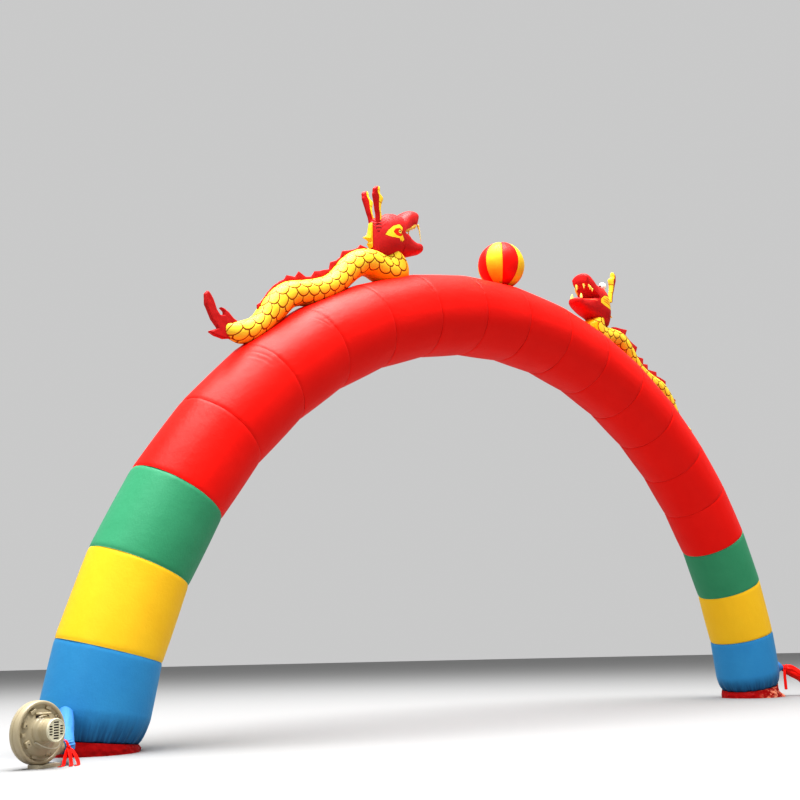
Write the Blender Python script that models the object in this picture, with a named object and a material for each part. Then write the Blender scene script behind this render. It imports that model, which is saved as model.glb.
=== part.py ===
"""Inflatable arch: a tube of sewn cloth panels on two skirted legs, with a ball and a pair of dragons on
its crown and the blower that keeps it full.  Metres, +Z up, standing on z = 0.  The origin is under the
middle of the whole outline, and the arch itself runs along X."""

import math

import bmesh
import bpy
from mathutils import Matrix, Vector

# Driving dimensions
GAP = 0.0003  # left between pieces that touch
TUBE_RADIUS = 0.53
TUBE_SIDES = 36
PANEL_LENGTH = 0.90
PANELS_PER_LEG = 10
PANEL_TURN = math.radians(8.1)  # each panel leans this much more than the one above it
RED_PANELS_PER_LEG = 7
SEAM_PINCH = 0.985  # share of the radius left at a seam
SEAM_REACH = 0.03  # share of a panel's length that the seam draws in
SEAM_TRIMS = {  # the lower seams as they are sewn: shift down the leg, lean to its outer side, lean to the back
    -1: (0.008, math.radians(3.4), math.radians(-5.4)),
    1: (-0.080, math.radians(1.5), math.radians(1.3)),
}
TRIM_SHARES = {  # how much of that each seam has, counted from the apex
    -1: [0.0, 0.0, 0.0, 0.0, 0.0, 0.0, 0.6, 1.0, 1.0, 1.0, 0.0],
    1: [0.0, 0.0, 0.0, 0.0, 0.0, 0.0, 0.6, 0.9, 1.0, 1.0, 0.0],
}
TRIM_REACH = 0.7  # share of a panel over which a seam's lean fades out
SKIRT_HEIGHTS = {-1: 0.105, 1: 0.185}  # at the middle of the left and the right leg
SKIRT_TILTS = {-1: math.radians(6.0), 1: math.radians(10.5)}  # each skirt is cut higher on its outer side
SKIRT_PINCH = 0.865  # share of the tube's radius left where the skirt is sewn on
SKIRT_RADIUS = 0.485
SKIRT_GATHERS = TUBE_SIDES // 2
GATHER_DEPTH, GATHER_START = 0.016, 0.75  # share of the radius, and where on the blue panel the gathers begin
BALL_RADIUS = 0.33
BALL_GORES = 8
BALL_FLAT_RADIUS = 0.09
BALL_RISE_STEPS, BALL_TURN_STEPS = 11, 4  # facets of a gore from bottom to top, and across
DRAGON_SIDES, HEAD_SIDES, HORN_SIDES = 12, 14, 8
HORN_SHIFT = {-1: 0.0, 1: 0.070}  # the right dragon's horns stand further back
HORN_KNEE, HORN_GROWTH = 6.44, {(-1, -1): 1.0, (-1, 1): 1.0, (1, -1): 1.0, (1, 1): 0.35}  # the right dragon's far horn is short
HORN_SPREAD, HORN_SPLAY = {-1: 0.058, 1: 0.080}, {-1: 0.11, 1: 0.06}  # each horn's distance from the middle plane, and how that grows with height
UPPER_JAW_REACH = {-1: 1.0, 1: 0.65}  # the right dragon holds its upper jaw shorter
HUMP_DROP = {-1: 0.0, 1: 0.065}  # and its shoulders lower
BLOWER_RADIUS = 0.268
BLOWER_SIDES, COWL_SIDES, OUTLET_SIDES, HANDLE_SIDES, LEAD_SIDES = 36, 32, 20, 8, 6
BLOWER_WIDTH = 0.12
BLOWER_AXIS_HEIGHT = 0.292
BLOWER_PLACE = (-7.307, -1.066)  # middle of the round face, from the middle of the arch
BLOWER_HEADING = math.radians(17.0)  # how far the fan's axis turns from -Y towards +X
COWL_LIFT, COWL_END, COWL_RADIUS = 0.022, 0.152, 0.093  # the motor cowl over the fan's axis
SLEEVE_SIDES = 16
SLEEVE_RADIUS = 0.072
SLEEVE_NECK_RADIUS = 0.060
TIE_WIDTH, TIE_THICKNESS = 0.028, 0.006
ARCH_CENTRE = (0.001, 0.357)  # where the middle of the arch stands, so that the whole outline is centred

COLOURS = {  # name: (red, green, blue), roughness
    "red_cloth": ((0.78, 0.03, 0.03), 0.45),
    "green_cloth": ((0.03, 0.30, 0.12), 0.45),
    "yellow_cloth": ((0.86, 0.62, 0.05), 0.45),
    "blue_cloth": ((0.04, 0.22, 0.62), 0.45),
    "pale_blue_cloth": ((0.16, 0.50, 0.85), 0.45),
    "orange_cloth": ((0.90, 0.38, 0.04), 0.45),
    "olive_plastic": ((0.42, 0.39, 0.30), 0.40),
    "pale_plastic": ((0.72, 0.69, 0.60), 0.45),
    "pale_rubber": ((0.62, 0.60, 0.52), 0.50),
}

# Blue panel's narrowing towards the skirt: share of its length, share of the radius
BLUE_PROFILE = [
    (0.0, SEAM_PINCH),
    (SEAM_REACH, 1.0),
    (0.70, 1.0),
    (0.80, 0.98),
    (0.88, 0.945),
    (0.95, 0.90),
    (1.0, SKIRT_PINCH),
]
SKIRT_ROWS = [  # share of the fall, share of the spread, gathers, share of the loose flap
    (0.45, 0.72, 0.012, 0.0),
    (0.80, 1.0, 0.010, 0.6),
    (1.0, 1.0, 0.008, 1.0),
]
PLAIN_PROFILE = [(0.0, SEAM_PINCH), (SEAM_REACH, 1.0), (1.0 - SEAM_REACH, 1.0), (1.0, SEAM_PINCH)]

# Dragon tables: x is the distance from the middle of the arch, z the height above the left leg's bottom seam
BODY_ROWS = [  # back x, back z, belly x, belly z, half width
    (4.725, 4.430, 4.725, 4.360, 0.035),
    (4.70, 4.465, 4.70, 4.320, 0.060),
    (4.62, 4.49, 4.63, 4.29, 0.090),
    (4.49, 4.54, 4.51, 4.27, 0.115),
    (4.36, 4.61, 4.36, 4.31, 0.130),
    (4.27, 4.71, 4.20, 4.42, 0.145),
    (4.18, 4.86, 4.04, 4.56, 0.155),
    (4.05, 5.01, 3.90, 4.69, 0.160),
    (3.88, 5.125, 3.78, 4.82, 0.160),
    (3.72, 5.175, 3.66, 4.88, 0.157),
    (3.56, 5.22, 3.51, 4.91, 0.155),
    (3.40, 5.275, 3.34, 4.98, 0.155),
    (3.26, 5.345, 3.17, 5.07, 0.157),
    (3.13, 5.47, 3.00, 5.18, 0.160),
    (3.01, 5.61, 2.87, 5.30, 0.165),
    (2.87, 5.72, 2.76, 5.40, 0.170),
    (2.72, 5.80, 2.65, 5.47, 0.172),
    (2.56, 5.84, 2.54, 5.485, 0.175),
    (2.44, 5.838, 2.42, 5.45, 0.178),
    (2.37, 5.825, 2.27, 5.41, 0.183),
    (2.34, 5.820, 2.10, 5.41, 0.188),
    (2.325, 5.830, 1.96, 5.47, 0.188),
    (2.32, 5.860, 1.905, 5.60, 0.182),
    (2.32, 5.920, 1.935, 5.75, 0.170),
    (2.32, 5.980, 2.110, 5.87, 0.130),
]
HEAD_ROWS = [  # x, lowest z, highest z, half width
    (2.500, 5.855, 6.215, 0.045),
    (2.470, 5.800, 6.252, 0.085),
    (2.430, 5.765, 6.285, 0.125),
    (2.330, 5.765, 6.328, 0.190),
    (2.230, 5.785, 6.362, 0.212),
    (2.130, 5.815, 6.386, 0.208),
    (2.0755, 5.835, 6.392, 0.200),
    (2.0750, 6.165, 6.394, 0.192),
    (1.960, 6.222, 6.458, 0.172),
    (1.880, 6.266, 6.496, 0.158),
    (1.800, 6.308, 6.510, 0.145),
    (1.735, 6.345, 6.504, 0.122),
    (1.700, 6.385, 6.478, 0.080),
]
MOUTH_X, HEAD_SQUARENESS = 2.0755, 0.8
JAW_ROWS = [  # x, lowest z, highest z, half width
    (2.0747, 5.855, 6.125, 0.185),
    (1.990, 5.870, 6.118, 0.172),
    (1.880, 5.900, 6.100, 0.155),
    (1.780, 5.940, 6.090, 0.140),
    (1.690, 5.985, 6.095, 0.115),
    (1.635, 6.030, 6.088, 0.065),
]
HORN_ROWS = [  # x, z, half depth, half width
    (2.420, 6.180, 0.044, 0.034),
    (2.432, 6.300, 0.045, 0.034),
    (2.450, 6.360, 0.047, 0.035),
    (2.460, 6.440, 0.060, 0.036),
    (2.460, 6.512, 0.086, 0.037),
    (2.468, 6.540, 0.086, 0.036),
    (2.490, 6.572, 0.058, 0.035),
    (2.492, 6.612, 0.055, 0.033),
    (2.480, 6.644, 0.040, 0.026),
    (2.466, 6.662, 0.014, 0.010),
]
TAIL_OUTLINE = [  # x, z, round the three flames; the end of the body is cut out of it
    (4.560, 4.440),
    (4.560, 4.520),
    (4.618, 4.545),
    (4.674, 4.596),
    (4.741, 4.632),
    (4.796, 4.634),
    (4.745, 4.590),
    (4.741, 4.552),
    (4.790, 4.545),
    (4.834, 4.601),
    (4.879, 4.706),
    (4.918, 4.760),
    (4.956, 4.790),
    (4.993, 4.748),
    (4.990, 4.627),
    (4.906, 4.473),
    (4.820, 4.385),
    (4.894, 4.352),
    (4.938, 4.330),
    (4.861, 4.290),
    (4.751, 4.278),
    (4.620, 4.305),
    (4.600, 4.380),
]
LIMP_TAIL_OUTLINE = [  # the right dragon's flames hang down along the tube
    (4.660, 4.440),
    (4.720, 4.470),
    (4.775, 4.430),
    (4.800, 4.330),
    (4.820, 4.220),
    (4.880, 4.130),
    (4.970, 4.030),
    (5.060, 3.930),
    (5.140, 3.820),
    (5.160, 3.740),
    (5.110, 3.755),
    (5.020, 3.835),
    (4.950, 3.885),
    (4.965, 3.835),
    (4.900, 3.905),
    (4.840, 3.980),
    (4.780, 4.080),
    (4.715, 4.110),
    (4.735, 4.220),
    (4.720, 4.300),
    (4.660, 4.360),
]
HUMP_X, HUMP_REACH = 2.50, 0.28  # where the shoulders are, and half their length
CREST_FIRST_RING, CREST_THICKNESS = 10, 0.018  # the first ring of the body that carries the crest
CREST_ROWS = {  # height and lean to the tail at each ring: uneven lobes and spikes
    -1: [
        (0.058, 0.000),
        (0.022, 0.000),
        (0.012, 0.000),
        (0.018, 0.000),
        (0.024, 0.000),
        (0.030, 0.000),
        (0.032, 0.000),
        (0.070, 0.035),
        (0.046, 0.000),
        (0.108, 0.014),
        (0.038, 0.000),
        (0.032, 0.000),
        (0.086, 0.012),
        (0.076, 0.000),
        (0.066, 0.000),
        (0.030, 0.000),
        (0.072, 0.024),
        (0.035, 0.000),
        (0.024, 0.000),
        (0.060, 0.024),
        (0.030, 0.000),
        (0.016, 0.000),
        (0.022, 0.000),
        (0.050, 0.042),
        (0.012, 0.000),
    ],
    1: [
        (0.035, 0.000),
        (0.150, 0.090),
        (0.095, 0.030),
        (0.070, 0.010),
        (0.055, 0.000),
        (0.140, 0.080),
        (0.095, 0.030),
        (0.070, 0.010),
        (0.130, 0.080),
        (0.095, 0.030),
        (0.070, 0.010),
        (0.140, 0.080),
        (0.095, 0.030),
        (0.175, 0.095),
        (0.125, 0.030),
        (0.095, 0.010),
        (0.205, 0.100),
        (0.150, 0.040),
        (0.115, 0.010),
        (0.110, 0.000),
        (0.190, 0.110),
        (0.110, 0.030),
        (0.075, 0.000),
        (0.050, 0.000),
        (0.012, 0.000),
    ],
}
TAIL_EDGE, TAIL_PUFF = 0.026, 0.016  # thickness at its edge, and what its middle adds on each face
MANE_OUTLINE = [  # x, z of the spiked mane down the back of the head
    (2.5003, 6.205),
    (2.518, 6.195),
    (2.534, 6.145),
    (2.546, 6.085),
    (2.562, 6.040),
    (2.590, 6.005),
    (2.640, 5.974),
    (2.585, 5.966),
    (2.550, 5.960),
    (2.538, 5.938),
    (2.568, 5.908),
    (2.544, 5.888),
    (2.526, 5.868),
    (2.5003, 5.862),
]
MANE_LAYERS = [(-0.040, 0.35), (-0.012, 1.0), (0.012, 1.0), (0.040, 0.35)]  # y, and how far it stands out there

OUTLET_ROWS = [  # distance back from the mouth, half height, half width, squareness
    (0.200, 0.062, 0.042, 0.45),
    (0.060, 0.062, 0.044, 0.45),
    (0.035, 0.056, 0.050, 1.0),
    (GAP, 0.056, 0.050, 1.0),
]
SLOT_ROWS = [  # the grille's columns: sideways place, half width, slots
    (-0.045, 0.015, 5),
    (0.0, 0.022, 7),
    (0.045, 0.015, 5),
]
SLOT_PITCH, SLOT_HEIGHT = 0.020, 0.009
FOOT_LEFT, FOOT_RIGHT, FOOT_BACK, FOOT_FRONT = -0.080, 0.160, -0.075, 0.055
FOOT_HEIGHT = 0.032
LEAD_RADIUS = 0.004
LEAD_ROWS = [  # in the blower's own frame: sideways, height over the axis, out from the face
    (-0.085, -0.078, 0.0123),
    (-0.085, -0.078, 0.030),
    (-0.075, -0.092, 0.052),
    (-0.050, -0.110, 0.070),
    (-0.010, -0.124, 0.082),
    (0.040, -0.132, 0.088),
    (0.080, -0.128, 0.090),
    (0.104, -0.106, 0.092),
    (0.112, -0.070, 0.094),
    (0.112, -0.030, 0.096),
    (0.112, -0.005, 0.097),
    (0.106, 0.014, 0.098),
    (0.0990, 0.0215, 0.098),
    (0.0934, 0.0220, 0.098),
]
HANDLE_HEIGHT, HANDLE_RADIUS = 0.158, 0.010  # the grip's height over the fan's axis
HANDLE_ROWS = [  # sideways, out from the face
    (-0.066, -0.020),
    (-0.065, 0.018),
    (-0.056, 0.032),
    (-0.038, 0.038),
    (0.038, 0.038),
    (0.056, 0.032),
    (0.065, 0.018),
    (0.066, -0.020),
]

# The sleeve that feeds the left leg: x and y from the middle of the arch, z, radius
SLEEVE_ROWS = [
    (-7.0700, -0.9414, 0.150, SLEEVE_NECK_RADIUS),
    (-7.0330, -0.9305, 0.150, SLEEVE_NECK_RADIUS),
    (-6.992, -0.900, 0.150, 0.068),
    (-6.965, -0.840, 0.156, SLEEVE_RADIUS),
    (-6.910, -0.720, 0.192, SLEEVE_RADIUS),
    (-6.838, -0.580, 0.250, SLEEVE_RADIUS),
    (-6.765, -0.440, 0.325, SLEEVE_RADIUS),
    (-6.693, -0.300, 0.385, SLEEVE_RADIUS),
    (-6.632, -0.180, 0.410, SLEEVE_RADIUS),
]
# The strap that ties the sleeve to the outlet has a knot and three loose ends: x, y, z along each
TIE_KNOT = (-7.0325, -1.0015, 0.150)
KNOT_SIZE = 0.034
TIE_END_ROWS = [
    [
        (-7.0331, -0.9998, 0.150),
        (-7.038, -1.030, 0.118),
        (-7.046, -1.066, 0.066),
        (-7.056, -1.098, 0.022),
        (-7.072, -1.130, 0.0031),
        (-7.100, -1.170, 0.0031),
    ],
    [
        (-7.0360, -0.9985, 0.146),
        (-7.062, -1.022, 0.108),
        (-7.092, -1.052, 0.056),
        (-7.116, -1.080, 0.014),
        (-7.140, -1.108, 0.0031),
        (-7.185, -1.140, 0.0031),
    ],
    [
        (-7.0290, -0.9985, 0.146),
        (-7.000, -1.020, 0.122),
        (-6.975, -1.052, 0.076),
        (-6.966, -1.086, 0.030),
        (-6.985, -1.122, 0.0031),
        (-7.030, -1.160, 0.0031),
    ],
]
TIE_END_WIDTH = 0.042
# The unused sleeve on the right leg runs straight out: distance from the leg's axis, z, half height, half width
SPARE_HEADING = math.radians(-36.0)
STUB_ROWS = [
    (0.380, 0.505, 0.112, 0.112),
    (0.500, 0.505, 0.108, 0.108),
    (0.550, 0.502, 0.090, 0.092),
    (0.585, 0.498, 0.062, 0.067),
    (0.605, 0.4938, 0.045, 0.050),
    (0.630, 0.4910, 0.045, 0.050),
]
LIMP_ROWS = [
    (0.6303, 0.49097, 0.045, 0.050),
    (0.6553, 0.48817, 0.045, 0.050),
    (0.690, 0.480, 0.075, 0.084),
    (0.750, 0.455, 0.092, 0.100),
    (0.840, 0.405, 0.090, 0.105),
    (0.930, 0.345, 0.085, 0.110),
    (1.030, 0.260, 0.080, 0.115),
    (1.130, 0.165, 0.070, 0.120),
    (1.250, 0.075, 0.062, 0.125),
    (1.380, 0.048, 0.0477, 0.125),
    (1.500, 0.038, 0.0377, 0.112),
    (1.560, 0.028, 0.0277, 0.070),
]
LIMP_RUFFLE = 0.05
FLAP_TURN, FLAP_SPREAD, FLAP_REACH = math.radians(-42.0), math.radians(20.0), 0.13  # the right skirt's loose fold
SPARE_TIE_ROWS = [  # round the neck between the stub and the limp end, as in the tables above
    (0.6160, 0.49260, 0.051, 0.056),
    (0.6440, 0.48940, 0.051, 0.056),
]
SPARE_TIE_END_ROWS = [  # distance, across, z down the strap's loose end
    (0.630, -0.0565, 0.491),
    (0.631, -0.0640, 0.430),
    (0.636, -0.0700, 0.350),
    (0.646, -0.0780, 0.260),
    (0.655, -0.0880, 0.180),
    (0.660, -0.0960, 0.120),
]


def cloth(name):
    """The finish of that name, made on first use."""
    finish = bpy.data.materials.get(name)
    if finish is None:
        finish = bpy.data.materials.new(name)
        finish.use_nodes = True
        colour, roughness = COLOURS[name]
        shader = finish.node_tree.nodes["Principled BSDF"]
        shader.inputs["Base Color"].default_value = (*colour, 1.0)
        shader.inputs["Roughness"].default_value = roughness
        finish.diffuse_color = (*colour, 1.0)
    return finish


def finish_piece(name, form, colour, parent, sharp_angle=math.radians(40)):
    """The bmesh form becomes one named, smooth-shaded object under its parent."""
    bmesh.ops.remove_doubles(form, verts=form.verts, dist=1e-6)
    bmesh.ops.recalc_face_normals(form, faces=form.faces)
    bmesh.ops.triangulate(form, faces=form.faces)
    mesh = bpy.data.meshes.new(name)
    form.to_mesh(mesh)
    form.free()
    mesh.shade_smooth()
    mesh.set_sharp_from_angle(angle=sharp_angle)
    mesh.materials.append(cloth(colour))
    piece = bpy.data.objects.new(name, mesh)
    bpy.context.scene.collection.objects.link(piece)
    piece.parent = parent
    return piece


def loft(rings):
    """A closed form drawn through rings of points: one capped loop, extruded from ring to ring."""
    form = bmesh.new()
    order = form.verts.layers.int.new("order")
    bmesh.ops.create_circle(form, cap_ends=True, segments=len(rings[0]), radius=1.0)
    form.verts.ensure_lookup_table()
    for index, point in enumerate(rings[0]):
        form.verts[index][order] = index
        form.verts[index].co = point
    edges = list(form.edges)
    for ring in rings[1:]:
        grown = bmesh.ops.extrude_edge_only(form, edges=edges)["geom"]
        for vert in (part for part in grown if isinstance(part, bmesh.types.BMVert)):
            vert.co = ring[vert[order]]
        edges = [part for part in grown if isinstance(part, bmesh.types.BMEdge)]
        edges = [edge for edge in edges if edge.is_boundary]
    bmesh.ops.contextual_create(form, geom=edges)
    return form


def smooth_rows(rows, steps):
    """Rows of a table with more rows between them, on one smooth curve through every column."""
    fine = []
    for index in range(len(rows) - 1):
        before = rows[max(index - 1, 0)]
        start, end = rows[index], rows[index + 1]
        after = rows[min(index + 2, len(rows) - 1)]
        for step in range(steps):
            t = step / steps
            fine.append(
                tuple(
                    0.5 * (2 * b + (c - a) * t + (2 * a - 5 * b + 4 * c - d) * t * t + (3 * b - a - 3 * c + d) * t**3)
                    for a, b, c, d in zip(before, start, end, after)
                )
            )
    fine.append(tuple(rows[-1]))
    return fine


def oval_ring(centre, up, across, sides, squareness=1.0):
    """Points round an oval whose half axes are the vectors up and across; squareness under 1 fills its corners."""
    ring = []
    for index in range(sides):
        turn = 2 * math.pi * index / sides
        rise, reach = math.cos(turn), math.sin(turn)
        rise = math.copysign(abs(rise) ** squareness, rise)
        reach = math.copysign(abs(reach) ** squareness, reach)
        ring.append(centre + up * rise + across * reach)
    return ring


def combine(piece, helper, operation):
    """Cut the helper out of the piece, or join it on.  The helper stays in the file as a hidden guide."""
    step = piece.modifiers.new(helper.name, "BOOLEAN")
    step.operation = operation
    step.object = helper
    helper.hide_render = True
    helper.display_type = "WIRE"


def carve(piece, cutter):
    combine(piece, cutter, "DIFFERENCE")


def grown_copy(piece, name, by):
    """A copy of a piece with every point moved out by a small distance, to cut a neighbour with."""
    mesh = piece.data.copy()
    guide = bpy.data.objects.new(name, mesh)
    bpy.context.scene.collection.objects.link(guide)
    guide.parent = piece.parent
    normals = [vert.normal.copy() for vert in mesh.vertices]
    for vert, normal in zip(mesh.vertices, normals):
        vert.co += normal * by
    return guide


# The arch


def leg_points(side):
    """Seam middles down one leg from the apex: distance from the middle of the arch and height."""
    points = [Vector((0.0, 0.0))]
    for panel in range(PANELS_PER_LEG):
        slope = (panel + 0.5) * PANEL_TURN
        points.append(points[-1] + PANEL_LENGTH * Vector((math.cos(slope), -math.sin(slope))))
    lift = SKIRT_HEIGHTS[-1] - points[-1].y
    points = [point + Vector((0.0, lift)) for point in points]
    step = points[-1] - points[-2]
    points[-1] = points[-2] + step * (SKIRT_HEIGHTS[side] - points[-2].y) / step.y
    return points


def seam_trim(side, seam):
    return [part * TRIM_SHARES[side][seam] for part in SEAM_TRIMS[side]]


def tube_ring(side, point, slope, radius, tilt, gathers=0.0, lean=0.0):
    """A ring across a tube that runs down one leg, leaned by tilt so that its outer side comes later, and its back by lean."""
    along = Vector((side * math.cos(slope), 0.0, -math.sin(slope)))
    out = Vector((side * math.sin(slope), 0.0, math.cos(slope)))
    middle = Vector((side * point.x, 0.0, point.y))
    ring = []
    for index in range(TUBE_SIDES):
        turn = 2 * math.pi * index / TUBE_SIDES
        reach = radius * (1.0 + gathers * math.cos(SKIRT_GATHERS * turn))
        rise = reach * math.cos(turn)
        later = rise * math.tan(tilt) + reach * math.sin(turn) * math.tan(lean) / math.cos(tilt)
        ring.append(middle + out * rise + Vector((0.0, reach * math.sin(turn), 0.0)) + along * later)
    return ring


def bottom_tilt(side):
    """How far the lowest seam leans from square across the last panel."""
    last_slope = (PANELS_PER_LEG - 0.5) * PANEL_TURN
    return math.pi / 2 - last_slope - SKIRT_TILTS[side]


def panel_rings(side, panel):
    """Rings of one tube panel between its two mitred seams."""
    points = leg_points(side)
    slope = (panel + 0.5) * PANEL_TURN
    is_last = panel == PANELS_PER_LEG - 1
    end_tilt = bottom_tilt(side) if is_last else PANEL_TURN / 2
    step = (points[panel + 1] - points[panel]).normalized()
    start, end = points[panel] + step * GAP / 2, points[panel + 1] - step * GAP / 2
    next_step = Vector((math.cos(slope + PANEL_TURN), -math.sin(slope + PANEL_TURN)))
    (shift, leaned, backwards), (next_shift, next_leaned, next_backwards) = (seam_trim(side, seam) for seam in (panel, panel + 1))
    rings = []
    for share, width in BLUE_PROFILE if is_last else PLAIN_PROFILE:
        tilt = -PANEL_TURN / 2 * (1.0 - share) + end_tilt * share
        gathers = GATHER_DEPTH * max(0.0, share - GATHER_START) / (1.0 - GATHER_START) if is_last else 0.0
        near, far = max(0.0, 1.0 - share / TRIM_REACH), max(0.0, 1.0 - (1.0 - share) / TRIM_REACH)
        middle = start.lerp(end, share) + step * shift * near + next_step * next_shift * far
        tilt += leaned * near + next_leaned * far
        lean = backwards * near + next_backwards * far
        rings.append(tube_ring(side, middle, slope, TUBE_RADIUS * width, tilt, gathers, lean))
    return rings


def panel_colour(panel):
    """Red to the crown, then green, yellow and blue down each leg."""
    if panel < RED_PANELS_PER_LEG:
        return "red_cloth"
    return ("green_cloth", "yellow_cloth", "blue_cloth")[panel - RED_PANELS_PER_LEG]


def make_arch(parent):
    for side, side_name in ((-1, "left"), (1, "right")):
        for panel in range(PANELS_PER_LEG):
            name = f"panel_{side_name}_{panel + 1:02d}"
            finish_piece(name, loft(panel_rings(side, panel)), panel_colour(panel), parent)
        make_skirt(side, side_name, parent)


def make_skirt(side, side_name, parent):
    """The red skirt that the leg stands on: a short gathered drum with a flat underside."""
    foot = leg_points(side)[-1]
    slope = (PANELS_PER_LEG - 0.5) * PANEL_TURN
    seam = foot - Vector((0.0, 2 * GAP))
    top = tube_ring(side, seam, slope, TUBE_RADIUS * SKIRT_PINCH, bottom_tilt(side), GATHER_DEPTH)
    rings = [top]
    for fall, spread, gathers, flap in SKIRT_ROWS:
        ring = []
        for index in range(TUBE_SIDES):
            turn = 2 * math.pi * index / TUBE_SIDES
            reach = SKIRT_RADIUS * (1.0 + gathers * math.cos(SKIRT_GATHERS * turn)) + flap * loose_flap(side, turn)
            base = Vector((side * (foot.x + reach * math.cos(turn)), reach * math.sin(turn), 0.0))
            point = top[index].lerp(base, spread)
            point.z = top[index].z * (1.0 - fall)
            ring.append(point)
        rings.append(ring)
    finish_piece(f"skirt_{side_name}", loft(rings), "red_cloth", parent)


def loose_flap(side, turn):
    """A loose fold of the right skirt lies out on the ground towards the front."""
    if side < 0:
        return 0.0
    away = math.remainder(turn - FLAP_TURN, 2 * math.pi)
    return FLAP_REACH * math.exp(-((away / FLAP_SPREAD) ** 2))


def make_clearance(parent):
    """A guide the size of the whole tube and one gap more, which cuts what lies against the tube."""
    radius = (TUBE_RADIUS + GAP) / math.cos(PANEL_TURN / 2)
    legs = {}
    for side in (-1, 1):
        points = leg_points(side)
        legs[side] = [
            stretched_ring(side, points[seam], seam * PANEL_TURN, radius) for seam in range(1, PANELS_PER_LEG + 1)
        ]
    apex = stretched_ring(1, leg_points(1)[0], 0.0, radius)
    form = loft(legs[-1][::-1] + [apex] + legs[1])
    return finish_piece("tube_clearance", form, "red_cloth", parent)


def stretched_ring(side, point, slope, radius):
    """The oval where two panels meet: the tube's width in Y, the mitre's longer width in the arch's plane."""
    out = Vector((side * math.sin(slope), 0.0, math.cos(slope)))
    middle = Vector((side * point.x, 0.0, point.y))
    width = radius * math.cos(PANEL_TURN / 2)
    return oval_ring(middle, out * radius, Vector((0.0, width, 0.0)), TUBE_SIDES)


def crown_height():
    """The highest point of the tube, at the drawn-in seam on its apex."""
    return max(point.z for ring in panel_rings(1, 0) for point in ring)


# The ball


def make_ball(parent):
    """Eight gores in two colours, each a wedge of the ball, on a small flat spot where it rests."""
    flat = math.asin(BALL_FLAT_RADIUS / BALL_RADIUS)
    middle = Vector((0.0, 0.0, crown_height() + GAP + BALL_RADIUS * math.cos(flat)))
    gore_turn = 2 * math.pi / BALL_GORES
    for gore in range(BALL_GORES):
        form = bmesh.new()
        arc = [flat + (math.pi - flat) * step / BALL_RISE_STEPS for step in range(BALL_RISE_STEPS + 1)]
        outline = [(0.0, -BALL_RADIUS * math.cos(flat))]
        outline += [(BALL_RADIUS * math.sin(turn), -BALL_RADIUS * math.cos(turn)) for turn in arc]
        verts = [form.verts.new((x, 0.0, z)) for x, z in outline]
        face = form.faces.new(verts)
        bmesh.ops.spin(form, geom=[face], axis=(0, 0, 1), cent=(0, 0, 0), angle=gore_turn, steps=BALL_TURN_STEPS)
        bmesh.ops.remove_doubles(form, verts=form.verts, dist=1e-5)
        start = gore * gore_turn - math.radians(45.0)
        bisector = start + gore_turn / 2
        apart = GAP / 2 / math.sin(gore_turn / 2)
        shift = Vector((math.cos(bisector), math.sin(bisector), 0.0)) * apart
        bmesh.ops.rotate(form, verts=form.verts, matrix=Matrix.Rotation(start, 3, "Z"))
        bmesh.ops.translate(form, verts=form.verts, vec=middle + shift)
        colour = ("red_cloth", "yellow_cloth")[gore % 2]
        finish_piece(f"ball_gore_{gore + 1}", form, colour, parent)


# The dragons


def dragon_point(side, x, y, z):
    """A point of the dragon tables in the arch's place: x outwards, z above the left leg's bottom seam."""
    return Vector((side * x, y, z + SKIRT_HEIGHTS[-1]))


def body_rings(side):
    rings = []
    for back_x, back_z, belly_x, belly_z, half_width in dragon_rows(side):
        back = dragon_point(side, back_x, 0.0, back_z)
        belly = dragon_point(side, belly_x, 0.0, belly_z)
        centre = (back + belly) / 2
        rings.append(oval_ring(centre, back - centre, Vector((0.0, half_width, 0.0)), DRAGON_SIDES))
    return rings


def dragon_rows(side):
    """The body's table on a smooth curve, with that side's lower shoulders."""
    rows = []
    for back_x, back_z, belly_x, belly_z, half_width in smooth_rows(BODY_ROWS, 2):
        drop = HUMP_DROP[side] * math.exp(-(((back_x - HUMP_X) / HUMP_REACH) ** 2))
        rows.append((back_x, back_z - drop, belly_x, belly_z, half_width))
    return rows


def level_section(side, x, low, high, half_width, squareness):
    """An upright section of the head or jaw, with full cheeks."""
    centre = dragon_point(side, x, 0.0, (low + high) / 2)
    up = Vector((0.0, 0.0, (high - low) / 2))
    return oval_ring(centre, up, Vector((0.0, half_width, 0.0)), HEAD_SIDES, squareness)


def make_dragon(side, side_name, parent, clearance):
    name = f"dragon_{side_name}"
    body = finish_piece(f"{name}_body", loft(body_rings(side)), "yellow_cloth", parent)
    head_rings = []
    for x, low, high, half_width in HEAD_ROWS:
        if x < MOUTH_X:
            x = MOUTH_X - (MOUTH_X - x) * UPPER_JAW_REACH[side]
        head_rings.append(level_section(side, x, low, high, half_width, HEAD_SQUARENESS))
    head = finish_piece(f"{name}_head", loft(head_rings), "red_cloth", parent)
    jaw_rings = [level_section(side, x, low, high, half, HEAD_SQUARENESS) for x, low, high, half in JAW_ROWS]
    finish_piece(f"{name}_jaw", loft(jaw_rings), "red_cloth", parent)
    head_guide = grown_copy(head, f"{name}_head_clearance", GAP)
    carve(body, clearance)
    carve(body, head_guide)
    for hand, hand_name in ((-1, "near"), (1, "far")):
        horn = make_horn(side, hand, f"{name}_horn_{hand_name}", parent)
        carve(horn, head_guide)
    make_mane(side, side_name, parent)
    make_crest(side, side_name, parent)
    make_tail(side, side_name, parent, body)


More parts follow.
